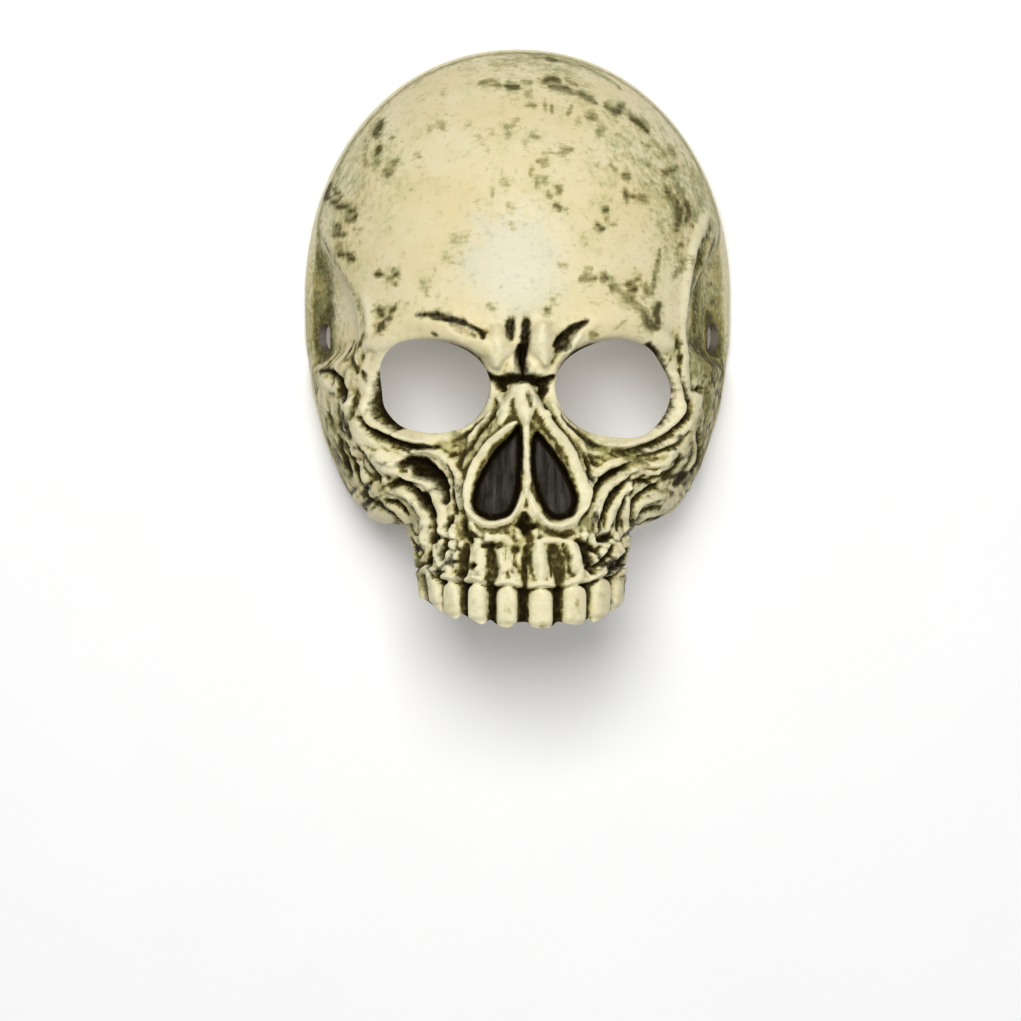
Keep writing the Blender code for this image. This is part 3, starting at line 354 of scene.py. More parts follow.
# The stains: paint brushed on thinly, with no carving under it.
# half-width, strength, the points that the middle line runs through
STAINS = (
    # Left of the forehead
    (1.2, 1.0, ((-5.6, 92), (-0.6, 91.8))),
    (1.5, 0.6, ((-15, 93.2), (-11, 93.4), (-7, 91.8))),
    (1.4, 0.9, ((-50.6, 79), (-52.4, 75.6), (-52.8, 73.4))),
    (1.0, 0.7, ((-47.2, 73.4), (-46.6, 72.4))),
    (1.1, 0.9, ((-51.4, 70), (-53, 67.4))),
    (1.5, 0.5, ((-52.4, 66), (-54.6, 61.4))),
    (0.9, 0.5, ((-57.2, 68), (-57.2, 62))),
    (1.8, 0.75, ((-49.6, 60.4), (-47.6, 59))),
    (1.7, 0.65, ((-47.4, 63), (-45.6, 63.8))),
    (1.3, 0.45, ((-38.4, 66.6), (-36.8, 65.6))),
    (2.2, 0.42, ((-30.4, 79), (-28.4, 76.4))),
    (1.3, 0.45, ((-34.4, 76), (-32.2, 76.4))),
    (1.2, 0.4, ((-29.4, 90.4), (-27.6, 89.4))),
    (1.6, 0.4, ((-19.8, 77.4), (-18.6, 76.6))),
    (1.5, 0.4, ((-15.6, 73), (-14.6, 72))),
    (1.1, 0.45, ((-12, 75), (-10.6, 74.2))),
    (1.2, 0.45, ((-10.6, 53.4), (-10.8, 51.4))),
    (2.0, 0.32, ((-7.4, 55.4), (-4.6, 55.8))),
    (1.9, 0.32, ((-4.8, 48), (-3.6, 46))),
    (2.0, 0.32, ((-4, 40.4), (-2.4, 40))),
    (2.8, 0.3, ((-25.6, 37), (-23, 35), (-20.4, 37))),
    (2.4, 0.3, ((-28, 28), (-25.6, 27.2))),
    (1.4, 0.32, ((-32.8, 23.4), (-31.8, 23.4))),
    (1.8, 0.36, ((-36.4, 19.4), (-35.2, 17.6))),
    (1.2, 0.5, ((-12.6, 11.4), (-10.4, 9.4))),
    (0.9, 0.35, ((-35.4, 16), (-34.4, 15.4))),
    # The chain of marks above the left temple
    (1.5, 1.0, ((-69.8, 56.4), (-71.4, 53.6), (-70.4, 50.6))),
    (1.1, 0.95, ((-70, 51), (-67.2, 48.2), (-64.6, 47.6), (-62, 46.4), (-60.4, 44.6), (-60.6, 42.8))),
    (1.0, 0.85, ((-68.4, 54.4), (-66.2, 51.2))),
    (1.3, 0.8, ((-64.6, 43.4), (-62, 42.8))),
    (1.7, 0.75, ((-67.8, 41), (-66.8, 38.8))),
    (1.2, 0.8, ((-69, 37.6), (-67, 37.4), (-64.6, 37.4))),
    (1.3, 0.45, ((-60.8, 39.4), (-59, 39))),
    (1.6, 0.6, ((-66.6, 34), (-66, 31.6))),
    (1.1, 1.0, ((-66.6, 30.4), (-64.4, 30.8))),
    (1.4, 1.0, ((-63.6, 29.6), (-61.8, 28.6))),
    (0.9, 0.4, ((-73, 44.4), (-73, 42))),
    # Over the left eye
    (1.1, 1.0, ((-53.6, 22.9), (-51.6, 22.3))),
    (0.9, 0.65, ((-50.6, 22), (-48.4, 20.8), (-46.2, 18.8))),
    (0.9, 0.85, ((-46.8, 24.2), (-45, 21.4))),
    (1.9, 1.0, ((-50, 4.6), (-50.8, 2.2))),
    (1.5, 0.9, ((-52.4, 10.4), (-50.6, 7.2))),
    (1.3, 0.9, ((-46.4, 10.8), (-47.8, 8.2))),
    (1.3, 0.8, ((-49.6, 6.6), (-47, 6.2))),
    (1.0, 0.35, ((-57, 0.4), (-55.8, -0.4))),
    # The streaks across the top
    (0.9, 0.6, ((0.4, 94.2), (4.4, 93))),
    (1.6, 0.85, ((8.4, 93.4), (11.4, 94.6), (14.6, 93.8))),
    (1.3, 0.8, ((10.6, 91.6), (16.6, 91), (19.4, 90))),
    (1.0, 0.6, ((17, 94.4), (21.4, 92.8))),
    (1.4, 0.4, ((4.2, 90.6), (2, 88.4))),
    (1.1, 0.6, ((2.4, 85), (5.6, 85))),
    (0.9, 0.5, ((9, 86.4), (9.2, 82.8))),
    (0.9, 0.6, ((11.4, 84.6), (11.6, 82.4))),
    (0.9, 0.5, ((18.8, 84.2), (17.4, 80.8))),
    (1.3, 0.75, ((19.6, 90), (24, 88.4), (28, 85.8))),
    (1.7, 0.6, ((24, 81.4), (28, 80))),
    (1.8, 0.35, ((20, 79.4), (22, 78.4))),
    (1.6, 0.75, ((31.6, 85), (34.8, 83), (38, 85))),
    (1.2, 0.8, ((34.6, 83.4), (36.4, 82.4))),
    (1.1, 0.5, ((38, 83.4), (40.6, 81))),
    (1.1, 0.95, ((40, 80.4), (43.6, 78.6), (46.8, 75.6))),
    (1.7, 0.55, ((28, 74), (30.4, 76.6))),
    (1.2, 0.45, ((45, 79.6), (47.4, 76.8))),
    (1.0, 0.8, ((10.4, 102.4), (14, 102))),
    (0.8, 0.5, ((4, 103.4), (12, 102.6), (20, 100.8), (30, 96.6), (38, 91.6))),
    (0.8, 0.45, ((-30, 98.4), (-36, 95.6), (-44, 90.4))),
    (1.8, 0.3, ((-12, 101), (0, 101.6), (12, 99), (26, 92))),
    # Right of the forehead
    (1.5, 0.5, ((3, 73.6), (6, 73))),
    (1.3, 0.42, ((0, 71), (2.4, 71.6))),
    (1.8, 0.4, ((-1.4, 79.4), (-5, 76), (-4.6, 72.6))),
    (1.7, 0.5, ((13.4, 66.8), (18, 68.6))),
    (1.4, 0.35, ((12, 67), (7.6, 66))),
    (1.3, 0.6, ((5.6, 64.4), (9, 63))),
    (1.1, 0.5, ((4, 62), (3.2, 59.6))),
    (2.0, 0.5, ((5.2, 57.2), (9, 57))),
    (1.0, 0.6, ((5.8, 57), (5, 54.8))),
    (1.4, 0.65, ((12.6, 54.6), (14, 53.2))),
    (1.2, 0.7, ((9.4, 52.4), (10.6, 50.2))),
    (1.1, 0.85, ((11.8, 48.6), (14.2, 46.2))),
    (0.9, 0.5, ((15.8, 45.8), (17.6, 44.8))),
    (1.2, 0.95, ((29.8, 46.6), (31.8, 45.8))),
    (0.9, 0.5, ((30.6, 43.2), (32, 42.2))),
    (1.1, 0.8, ((27.4, 41.2), (28.8, 39.4), (30.2, 39.2))),
    (0.9, 0.4, ((32.6, 41.4), (35, 40))),
    (1.6, 0.32, ((21.6, 35.4), (24.4, 33))),
    (0.9, 0.45, ((34.4, 61), (35.6, 60))),
    (1.2, 0.8, ((37, 58.6), (40, 58.6))),
    (1.1, 0.35, ((32, 63.6), (33.4, 62.4))),
    (1.1, 0.85, ((37.4, 53.4), (38.4, 50.8), (39.8, 50.2))),
    (1.4, 0.75, ((40.6, 51), (44, 50.4), (46.2, 50.2))),
    (1.1, 0.5, ((44.6, 52), (46.2, 51))),
    (1.6, 0.42, ((47, 59), (48.6, 56.4))),
    (1.2, 0.8, ((52, 60.4), (54.4, 60.2), (57.6, 62))),
    (1.7, 0.45, ((50.6, 69.2), (53.4, 66.8))),
    (1.3, 0.55, ((54.6, 70.2), (57, 67))),
    (1.1, 0.45, ((48, 72.4), (50, 70))),
    (1.5, 0.75, ((53.6, 55), (56, 49.8))),
    (1.3, 0.55, ((56, 58.6), (56.4, 56.6))),
    (2.1, 0.55, ((57.8, 55.4), (59.2, 51.4))),
    (1.5, 0.85, ((59.8, 50.4), (62, 46), (60.8, 41.8))),
    (1.9, 0.85, ((57, 50), (58, 44.6), (57, 39.6))),
    (1.1, 0.55, ((64, 44.6), (64.6, 42.6))),
    (3.2, 0.32, ((52, 42), (53.6, 35), (53, 28))),
    (1.3, 0.8, ((57.6, 34.4), (59.2, 33))),
    (1.4, 0.6, ((57, 30.4), (59, 27), (56.2, 21.6))),
    (1.0, 0.55, ((62, 29), (62.4, 27))),
    (1.0, 0.6, ((50.4, 32), (49.6, 26), (48.6, 20), (48, 15.6))),
    (1.6, 0.35, ((13.4, 26.4), (16.4, 25.8))),
    (2.6, 0.3, ((64, 62), (66, 54), (67, 48))),
    # The band over the right eye
    (1.3, 0.5, ((21.6, 23.2), (25.4, 24))),
    (1.2, 0.7, ((20.6, 20.6), (26.6, 21))),
    (1.4, 0.9, ((28, 21.6), (31, 21))),
    (1.2, 0.55, ((31, 20.4), (34.4, 18.8))),
    (1.1, 0.7, ((32.6, 17.6), (35.4, 16.4))),
    (1.2, 0.7, ((41.4, 21.8), (44, 19.8))),
    (1.6, 0.9, ((38.6, 18.4), (42, 17))),
    (1.5, 0.7, ((45.8, 18.4), (47, 14.6))),
    (2.0, 0.6, ((36, 15.6), (40, 13), (44.4, 8))),
    (2.0, 0.85, ((43.6, 8.4), (45.4, 4.4), (48.4, 3.4))),
    (1.5, 0.95, ((50.8, 11.8), (48.6, 8), (48.4, 4.6))),
    (1.2, 0.85, ((8.4, 9.8), (10.2, 8.4))),
    (1.1, 0.5, ((11, 13), (12.6, 12))),
    (0.9, 0.4, ((33.8, 2.6), (36.6, 5.2))),
    (1.1, 0.65, ((24.6, 0.8), (27.4, 0.4))),
    # Temples and outer cheeks
    (1.8, 0.55, ((-75.4, 31), (-76.2, 18), (-75.4, 8))),
    (1.2, 0.7, ((-76.6, 34), (-76, 26), (-75.6, 16), (-75.6, 8))),
    (1.5, 0.6, ((-77.4, 14), (-77.2, 6))),
    (1.8, 0.85, ((-75.4, 12), (-76, 2), (-75, -9))),
    (1.5, 0.9, ((75.8, 9), (76.2, 0), (75.4, -7))),
    (1.4, 0.8, ((72, 36), (71, 29))),
    (1.7, 0.9, ((66.4, 28), (65.6, 25.4))),
    (1.6, 0.7, ((71, 26), (70.6, 14), (70.4, 2))),
    (1.4, 0.5, ((64.4, 16), (64.2, 0))),
    (1.2, 0.5, ((64, -8), (64.4, -15))),
    (1.4, 0.5, ((68, -7), (68.6, -13))),
    (1.3, 0.55, ((68.6, -22), (68, -30))),
    (1.8, 0.6, ((-69.6, -29), (-67.4, -34))),
    (1.5, 0.65, ((-63.4, -38.6), (-62.6, -42))),
    (1.6, 0.6, ((-24.6, -35.6), (-21.4, -39.6))),
    (1.5, 0.6, ((20, -35), (24, -39), (30, -41.4))),
    (1.6, 0.7, ((34, -41), (39, -44.4), (45, -46.6))),
    (1.4, 0.65, ((-22.4, -67), (-20.4, -74))),
    (1.4, 0.6, ((22.6, -67), (25.6, -71))),
    (1.1, 0.8, ((-37.4, -81), (-36.6, -84.6))),
    (1.0, 0.85, ((-36, -88), (-35.4, -95))),
    (1.1, 0.9, ((39, -86), (38.8, -96))),
)

# Broad patches where more of the olive wash is left: middle, level, half-width, half-height, strength.
TINTS = (
    (46, 62, 32, 32, 0.38),
    (64, 42, 16, 36, 0.35),
    (4, 104, 52, 18, 0.27),
    (-58, 68, 24, 30, 0.34),
    (-66, 42, 16, 26, 0.25),
    (72.5, 4, 11, 46, 0.62),
    (66, -30, 8, 20, 0.20),
    (-77.8, 8, 3.6, 34, 0.50),
    (-46, -45, 6, 6, -0.45),
    (22, -54, 3, 15, -0.7),
    (-20.4, -54, 3, 15, -0.30),
    (-70, -24, 9, 12, -0.16),
    (19.4, -98, 4.5, 7, 0.85),
    (-5.6, -100, 4, 6, 0.80),
    (-17.4, -97, 3.6, 6, 0.75),
    (7, -105, 5, 4, 0.9),
    (-22, -40, 12, 14, 0.20),
    (22, -38, 12, 14, 0.32),
    (0, -72, 22, 9, 0.45),
    (62, -42, 16, 20, 0.32),
    (-64, -42, 14, 20, 0.28),
    (40, -48, 16, 9, 0.30),
    (0, -84, 40, 8, 0.20),
    (0, -4, 16, 15, -0.8),
    (-38, -84, 4, 16, 0.5),
    (40, -92, 4, 14, 0.5),
)

# Where the grain of the carving runs in rings: middle, level, least and greatest distance from there, lowest
# and highest level, nearest and farthest place from the mask's middle.
GRAIN_RINGS = (
    (-34.0, -18.0, 22.0, 44.0, -62.0, 0.0, 20.0, 90.0),
    (34.0, -18.0, 23.0, 44.0, -62.0, 0.0, 20.0, 62.0),
    (-45.0, -70.0, 8.0, 30.0, -92.0, -52.0, 20.0, 90.0),
    (45.0, -70.0, 8.0, 30.0, -92.0, -50.0, 22.0, 90.0),
)

# The teeth from left to right: middle, half-width, level of the gum line, level of the tip, lean of the
# tooth's middle line.
TEETH = (
    (-34.0, 2.2, -87.0, -98.6, 0.13),
    (-27.1, 3.1, -89.6, -102.6, 0.02),
    (-17.4, 3.9, -90.2, -104.4, 0.0),
    (-6.0, 4.4, -91.2, -106.0, 0.0),
    (6.7, 5.1, -92.0, -106.6, 0.0),
    (19.8, 4.8, -90.6, -105.4, 0.0),
    (30.2, 3.6, -88.2, -103.4, -0.04),
    (37.0, 2.2, -86.0, -99.6, -0.05),
)
TOOTH_GAP_DEPTH = 4.6
TOOTH_RISE = 3.9
TOOTH_CROWN = 1.1
TOOTH_EDGE = 0.34
TOOTH_NECK = 1.1
TOOTH_TIP = 2.4          # how far above a tooth's tip its front starts to curve back
TOOTH_TIP_DROP = 1.2
TOOTH_ROW_END = 1.0
# A crown's width: its share of the whole at the gum, what it gains below there, and within what distance.
TOOTH_SHOULDER, TOOTH_SWELL, TOOTH_SWELL_OVER = 0.84, 0.18, 5.0
# What it loses towards the tip, from how far above the tip, and within what distance.
TOOTH_TAPER, TOOTH_TAPER_START, TOOTH_TAPER_OVER = 0.10, 3.0, 4.0
# How much lower than its middle a crown starts at its sides, and how far out that is worked out.
TOOTH_ARCH, TOOTH_ARCH_END = 2.0, 1.3

# The trimmed edge of the cheeks as seen from the side: forward place and level.
CHEEK_TRIM = (
    (-12, -40), (-2, -42), (10, -52), (24, -62.5), (42, -71.5), (58, -77), (64, -86), (65, -100),
    (65, -125),
)
# The lower edge of the teeth as seen from the front.
BITE_EDGE = (
    (-45, -94), (-37, -96), (-34, -97.4), (-31, -99.8), (-28.5, -101.6), (-26, -102.9), (-24, -103.4),
    (-22.2, -101.8), (-20.3, -102.6), (-17, -104.6), (-14.6, -105.4), (-12, -103.8), (-9.4, -105.6),
    (-7, -106.5), (-4.6, -106.4), (-2.4, -104.9), (1.6, -104.7), (3, -106.2), (6, -106.8), (10, -106.6),
    (12.5, -104.6), (15.6, -105), (19, -105.6), (21.6, -105.2), (24, -103.4), (25.6, -104.7), (28, -104),
    (31, -102.2), (32.6, -100.4), (34.4, -100), (36, -98.8), (38, -97.2), (45, -95),
)
SLOT_HEIGHT, SLOT_WIDTH = 10.5, 8.0
SLOT_LEVEL, SLOT_FORWARD = -0.3, 20.0
SEEN_FROM_THE_SIDE = (math.pi / 2, 0, math.pi / 2)


def smoothstep(t):
    t = np.clip(t, 0.0, 1.0)
    return t * t * (3 - 2 * t)


def smooth_curve(points, closed=False, per_span=6):
    """Points along a Catmull-Rom curve through the given ones."""
    given = np.array(points, float)
    if closed:
        padded = np.vstack([given[-1:], given, given[:2]])
    else:
        padded = np.vstack([2 * given[:1] - given[1:2], given, 2 * given[-1:] - given[-2:-1]])
    t = np.linspace(0, 1, per_span, endpoint=False)[:, None]
    spans = []
    for a, b, c, d in zip(padded, padded[1:], padded[2:], padded[3:]):
        bend = 2 * a - 5 * b + 4 * c - d
        twist = 3 * b - a - 3 * c + d
        spans.append(0.5 * (2 * b + (c - a) * t + bend * t**2 + twist * t**3))
    line = np.vstack(spans)
    return line if closed else np.vstack([line, given[-1:]])


def distance_to_line(x, y, line):
    """Distance of each place to a line of points, and how far along it the nearest point is, 0 to 1."""
    nearest = np.full(x.shape, np.inf)
    along = np.zeros(x.shape)
    for i, (a, b) in enumerate(zip(line, line[1:])):
        way = b - a
        t = np.clip(((x - a[0]) * way[0] + (y - a[1]) * way[1]) / max(way @ way, NEARLY_ZERO), 0, 1)
        distance = np.hypot(x - a[0] - t * way[0], y - a[1] - t * way[1])
        closer = distance < nearest
        nearest[closer] = distance[closer]
        along[closer] = (i + t[closer]) / (len(line) - 1)
    return nearest, along


def near_line(x, y, line, reach):
    """The places that lie within reach of a line's box."""
    low, high = line.min(axis=0) - reach, line.max(axis=0) + reach
    return (x > low[0]) & (x < high[0]) & (y > low[1]) & (y < high[1])


def depth_inside(x, y, outline):
    """How far each place lies inside a closed smooth outline, and 0 or less outside it."""
    ring = smooth_curve(outline, closed=True)
    ring = np.vstack([ring, ring[:1]])
    depth = np.full(x.shape, -FAR)
    near = near_line(x, y, ring, 6)
    px, py = x[near], y[near]
    distance = distance_to_line(px, py, ring)[0]
    inside = np.zeros(px.shape, bool)
    for a, b in zip(ring, ring[1:]):
        crosses = (a[1] > py) != (b[1] > py)
        rise = b[1] - a[1] if abs(b[1] - a[1]) > NEARLY_ZERO else NEARLY_ZERO
        inside ^= crosses & (px < a[0] + (py - a[1]) / rise * (b[0] - a[0]))
    depth[near] = np.where(inside, distance, -distance)
    return depth


def mirrored(outline):
    return tuple((-x, y) for x, y in outline)


def stroke_profile(x, y, half_width, points):
    """1 on the middle line of a stroke, falling to 0 at its half-width, which narrows towards its ends."""
    line = smooth_curve(points)
    profile = np.zeros(x.shape)
    near = near_line(x, y, line, half_width)
    distance, along = distance_to_line(x[near], y[near], line)
    width = half_width * (1 - 0.45 * np.abs(2 * along - 1) ** 3)
    profile[near] = np.clip(1 - (distance / width) ** 2, 0, None)
    return profile


def teeth_relief(x, y):
    """The row of teeth, a sunk band with a rounded crown for each, and how far each place is in a gap."""
    left_end = TEETH[0][0] - TEETH[0][1] - TOOTH_ROW_END
    right_end = TEETH[-1][0] + TEETH[-1][1] + TOOTH_ROW_END
    across = smoothstep((x - left_end) / TOOTH_ROW_END) * smoothstep((right_end - x) / TOOTH_ROW_END)
    gum_line = np.interp(x, [tooth[0] for tooth in TEETH], [tooth[2] for tooth in TEETH])
    sunk_band = smoothstep((gum_line - y) / TOOTH_NECK) * across
    height = -TOOTH_GAP_DEPTH * sunk_band
    covered = np.zeros(x.shape)
    for middle, half_width, gum, tip, lean in TEETH:
        below = np.clip(gum - y, 0, None)
        swell = TOOTH_SWELL * smoothstep(below / TOOTH_SWELL_OVER)
        taper = TOOTH_TAPER * smoothstep((tip + TOOTH_TAPER_START - y) / TOOTH_TAPER_OVER)
        narrow = half_width * (TOOTH_SHOULDER + swell - taper)
        off = np.abs(x - middle - lean * below) / narrow
        dome = gum - TOOTH_ARCH * np.clip(off, 0, TOOTH_ARCH_END) ** 3
        crown = smoothstep((1 + TOOTH_EDGE / 4 - off) / TOOTH_EDGE) * smoothstep((dome - y) / TOOTH_NECK)
        tip_drop = TOOTH_TIP_DROP * smoothstep((tip + TOOTH_TIP - y) / TOOTH_TIP) ** 2
        height += crown * (TOOTH_RISE + TOOTH_CROWN * np.clip(1 - off**2, 0, None) - tip_drop)
        covered = np.maximum(covered, smoothstep((1 + TOOTH_EDGE / 3 - off) / TOOTH_EDGE))
    return height, sunk_band * (1 - covered)


def inside_temples(x, y):
    """How far each place lies inside the outline of the nearer temple, and 0 or less outside both."""
    return np.maximum(depth_inside(x, y, LEFT_TEMPLE), depth_inside(x, y, mirrored(LEFT_TEMPLE)))


def temples(x, y):
    return -TEMPLE_DEPTH * smoothstep(inside_temples(x, y) / TEMPLE_WALL)


def sunk(x, y, hollows, widened=0.0):
    """How deep each place lies in a group of hollows, which may be made wider than their outlines."""
    depth = np.zeros(x.shape)
    for outline, deepest, wall in hollows:
        depth = np.maximum(depth, deepest * smoothstep((depth_inside(x, y, outline) + widened) / wall))
    return depth


def carved_lines(x, y):
    """How far the carved lines stand off the bare form, at a place seen from the front."""
    height = np.zeros(x.shape)
    for half_width, rise, _, points in STROKES:
        height += rise * stroke_profile(x, y, half_width, points) ** 1.4
    return height


def wander(x, y):
    """Places moved a little to and fro, so that lines which are charted as clean curves run unevenly."""
    flat = np.stack([x, y, np.zeros_like(x)], axis=-1)
    for size, reach, seed in WANDERS:
        x = x + reach * lumps(flat, size, seed)
        y = y + reach * lumps(flat, size, seed + 7)
    return x, y


def section_at(level):
    """The sizes of the bare form's section at each level: a dome above the widest, the table below."""
    low = np.clip((level - WIDEST_LEVEL) / (TOP - WIDEST_LEVEL), 0, 1)
    dome_width = HALF_WIDTH * (1 - low**DOME_FULLNESS) ** (1 / DOME_FULLNESS)
    low = np.clip((level - FOREHEAD_LEVEL) / (TOP - FOREHEAD_LEVEL), 0, 1)
    dome_depth = FOREHEAD_DEPTH * (1 - low**DOME_FULLNESS) ** (1 / DOME_FULLNESS)
    rows = smooth_curve(SECTIONS, per_span=8)[::-1]
    sizes = [np.interp(level, rows[:, 0], rows[:, i]) for i in range(1, 7)]
    above = level > WIDEST_LEVEL
    sizes[0] = np.where(above, dome_width, sizes[0])
    sizes[1] = np.where(above, dome_depth, sizes[1])
    return sizes


def arch(angle, half_width, depth, fullness):
    side = np.abs(np.sin(angle) / half_width) ** fullness
    front = np.abs(np.cos(angle) / depth) ** fullness
    return (side + front) ** (-1 / fullness)


def bare_form(levels, angles):
    """The smooth form under the carving, as grids of places and of normals: a row for each level."""
    level, angle = np.meshgrid(levels, angles, indexing="ij")
    face_w, face_d, face_n, muzzle_w, muzzle_d, muzzle_n = section_at(level)
    face = arch(angle, face_w, face_d, face_n)
    muzzle = arch(angle, muzzle_w, muzzle_d, muzzle_n)
    radius = (face**BLEND + muzzle**BLEND) ** (1 / BLEND)
    places = np.stack([radius * np.sin(angle), level, radius * np.cos(angle)], axis=-1)
    normals = np.cross(np.gradient(places, axis=1), np.gradient(places, axis=0))
    normals /= np.linalg.norm(normals, axis=-1, keepdims=True)
    return places, normals


def stand_off(places, carving):
    """How far a surface stands off the bare form: its carving and the temples, both less near the rim."""
    x, y, z = places[..., 0], places[..., 1], places[..., 2]
    flare = smoothstep((z - TEMPLE_FADE_START) / TEMPLE_FADE)
    return carving * smoothstep(z / RIM_FADE) + temples(x, y) * flare


def smoothed(heights, passes):
    """A grid of heights with each one evened out with its neighbours, this many times."""
    for _ in range(passes):
        wide = np.pad(heights, 1, mode="edge")
        around = wide[:-2, 1:-1] + wide[2:, 1:-1] + wide[1:-1, :-2] + wide[1:-1, 2:]
        heights = (around + 4 * heights) / 8
    return heights


def level_rows(lowest, count, face_share):
    """Levels from the teeth to the top of the dome, closest over the face and where the dome closes."""
    share = np.linspace(0, 1, count)
    face = lowest + (FOREHEAD_LEVEL - lowest) * share / face_share
    turn = (share - face_share) / (1 - face_share) * LAST_ROW_ANGLE
    dome = FOREHEAD_LEVEL + (TOP - FOREHEAD_LEVEL) * np.sin(turn)
    return np.where(share < face_share, face, dome)


def fine_sweep():
    """The angles of an outer row's points, closest over the front of the face."""
    side = np.linspace(FINE_SWEEP, HALF_SWEEP, SIDE_COLUMNS + 1)[1:]
    front = np.linspace(-FINE_SWEEP, FINE_SWEEP, FINE_COLUMNS)
    return np.radians(np.concatenate([-side[::-1], front, side]))


def lumps(places, size, seed):
    """Smooth noise from -1 to 1 over a grid of places, with lumps of about this size."""
    offset = Vector((seed * 17.3, seed * 5.9, seed * 11.1))
    flat = places.reshape(-1, 3) / size
    values = [noise.noise(Vector(place) + offset) for place in flat]
    return np.array(values).reshape(places.shape[:-1])


def grain(x, y):
    """The height of the carving's fine grain, and how much of it is dabbed with ink.

    It runs round the orbits and the cheeks and down the jaw, and breaks up into a net at the jaw's sides.
    """
    height, ink = np.zeros((2,) + x.shape)
    for seed, (middle, level, near, far, low, high, inner, outer) in enumerate(GRAIN_RINGS):
        away = np.hypot(x - middle, y - level)
        weight = smoothstep((away - near) / 4) * smoothstep((far - away) / 7)
        weight *= smoothstep((high - y) / 8) * smoothstep((y - low) / 6)
        weight *= smoothstep((np.abs(x) - inner) / 5) * smoothstep((outer - np.abs(x)) / 5)
        along = np.arctan2(x - middle, level - y) * (near + far) / 2
        add_grain(height, ink, weight, away, along, seed)
    jaw = smoothstep((JAW_TOP - y) / 5) * smoothstep((y - JAW_BOTTOM) / 3)
    add_grain(height, ink, 0.7 * jaw * smoothstep((JAW_GRAIN_END - np.abs(x)) / 5), x, y, 9)
    weight = jaw * smoothstep((np.abs(x) - NET_START) / 3)
    here = weight > 0.01
    flat = np.stack([x[here], 0.8 * y[here], np.zeros(np.count_nonzero(here))], axis=-1)
    net = smoothstep((0.15 - np.abs(lumps(flat, NET_SIZE, 12))) / 0.13) * weight[here]
    height[here] += NET_HEIGHT * (0.4 * weight[here] - net)
    ink[here] = np.maximum(ink[here], 0.85 * net)
    return height, ink


def add_grain(height, ink, weight, across, along, seed):
    """Adds grain to both where it has weight, from the coordinates across and along it."""
    here = weight > 0.01
    across, along, weight = across[here], along[here], weight[here]
    depth = np.full(across.shape, 3.7 * seed)
    lines = lumps(np.stack([across / GRAIN_SPACING, along / GRAIN_LENGTH, depth], axis=-1), 1.0, 5)
    spots = lumps(np.stack([across / DAB_WIDTH, along / DAB_LENGTH, depth], axis=-1), 1.0, 8)
    dab = smoothstep((spots - 0.14) / 0.40) * weight
    height[here] += GRAIN_HEIGHT * (1 - 3 * np.abs(lines)) * weight - DAB_DEPTH * dab
    ink[here] = np.maximum(ink[here], 0.72 * dab)


def outer_surface():
    """The outer surface and its paint: grids of places and of ink, wash with painted shade, wiped bone and
    stain.
    """
    places, normals = bare_form(level_rows(LOWEST, OUTER_LEVELS, OUTER_FACE_SHARE), fine_sweep())
    x, y = places[..., 0], places[..., 1]
    uneven_x, uneven_y = wander(x, y)
    carved_zone = smoothstep((CARVED_TOP - y) / CARVED_FADE)
    gum = smoothstep((GUM_TOP - y) / GUM_FADE)
    teeth, gaps = teeth_relief(x, y)
    ridges, dabs = grain(uneven_x, uneven_y)
    carving = carved_lines(uneven_x, uneven_y) - sunk(x, y, ORBITS) + teeth + ridges * (1 - gum)
    carving = smoothed(carving, 1)
    rough = sum(height * lumps(places, size, seed) for size, height, seed in ROUGHNESS)
    carving += rough * (0.22 + 0.78 * carved_zone) * (1 - 0.6 * gum)
    shape = places + normals * stand_off(places, carving)[..., None]
    shape[..., 2] -= sunk(x, y, NOSTRILS)
    drawn = list(painted_lines(uneven_x, uneven_y))
    drawn[0] = np.maximum.reduce([drawn[0], 0.92 * gaps, dabs * (1 - gum)])
    return shape, *coats(places, carving, drawn, carved_zone, gum)


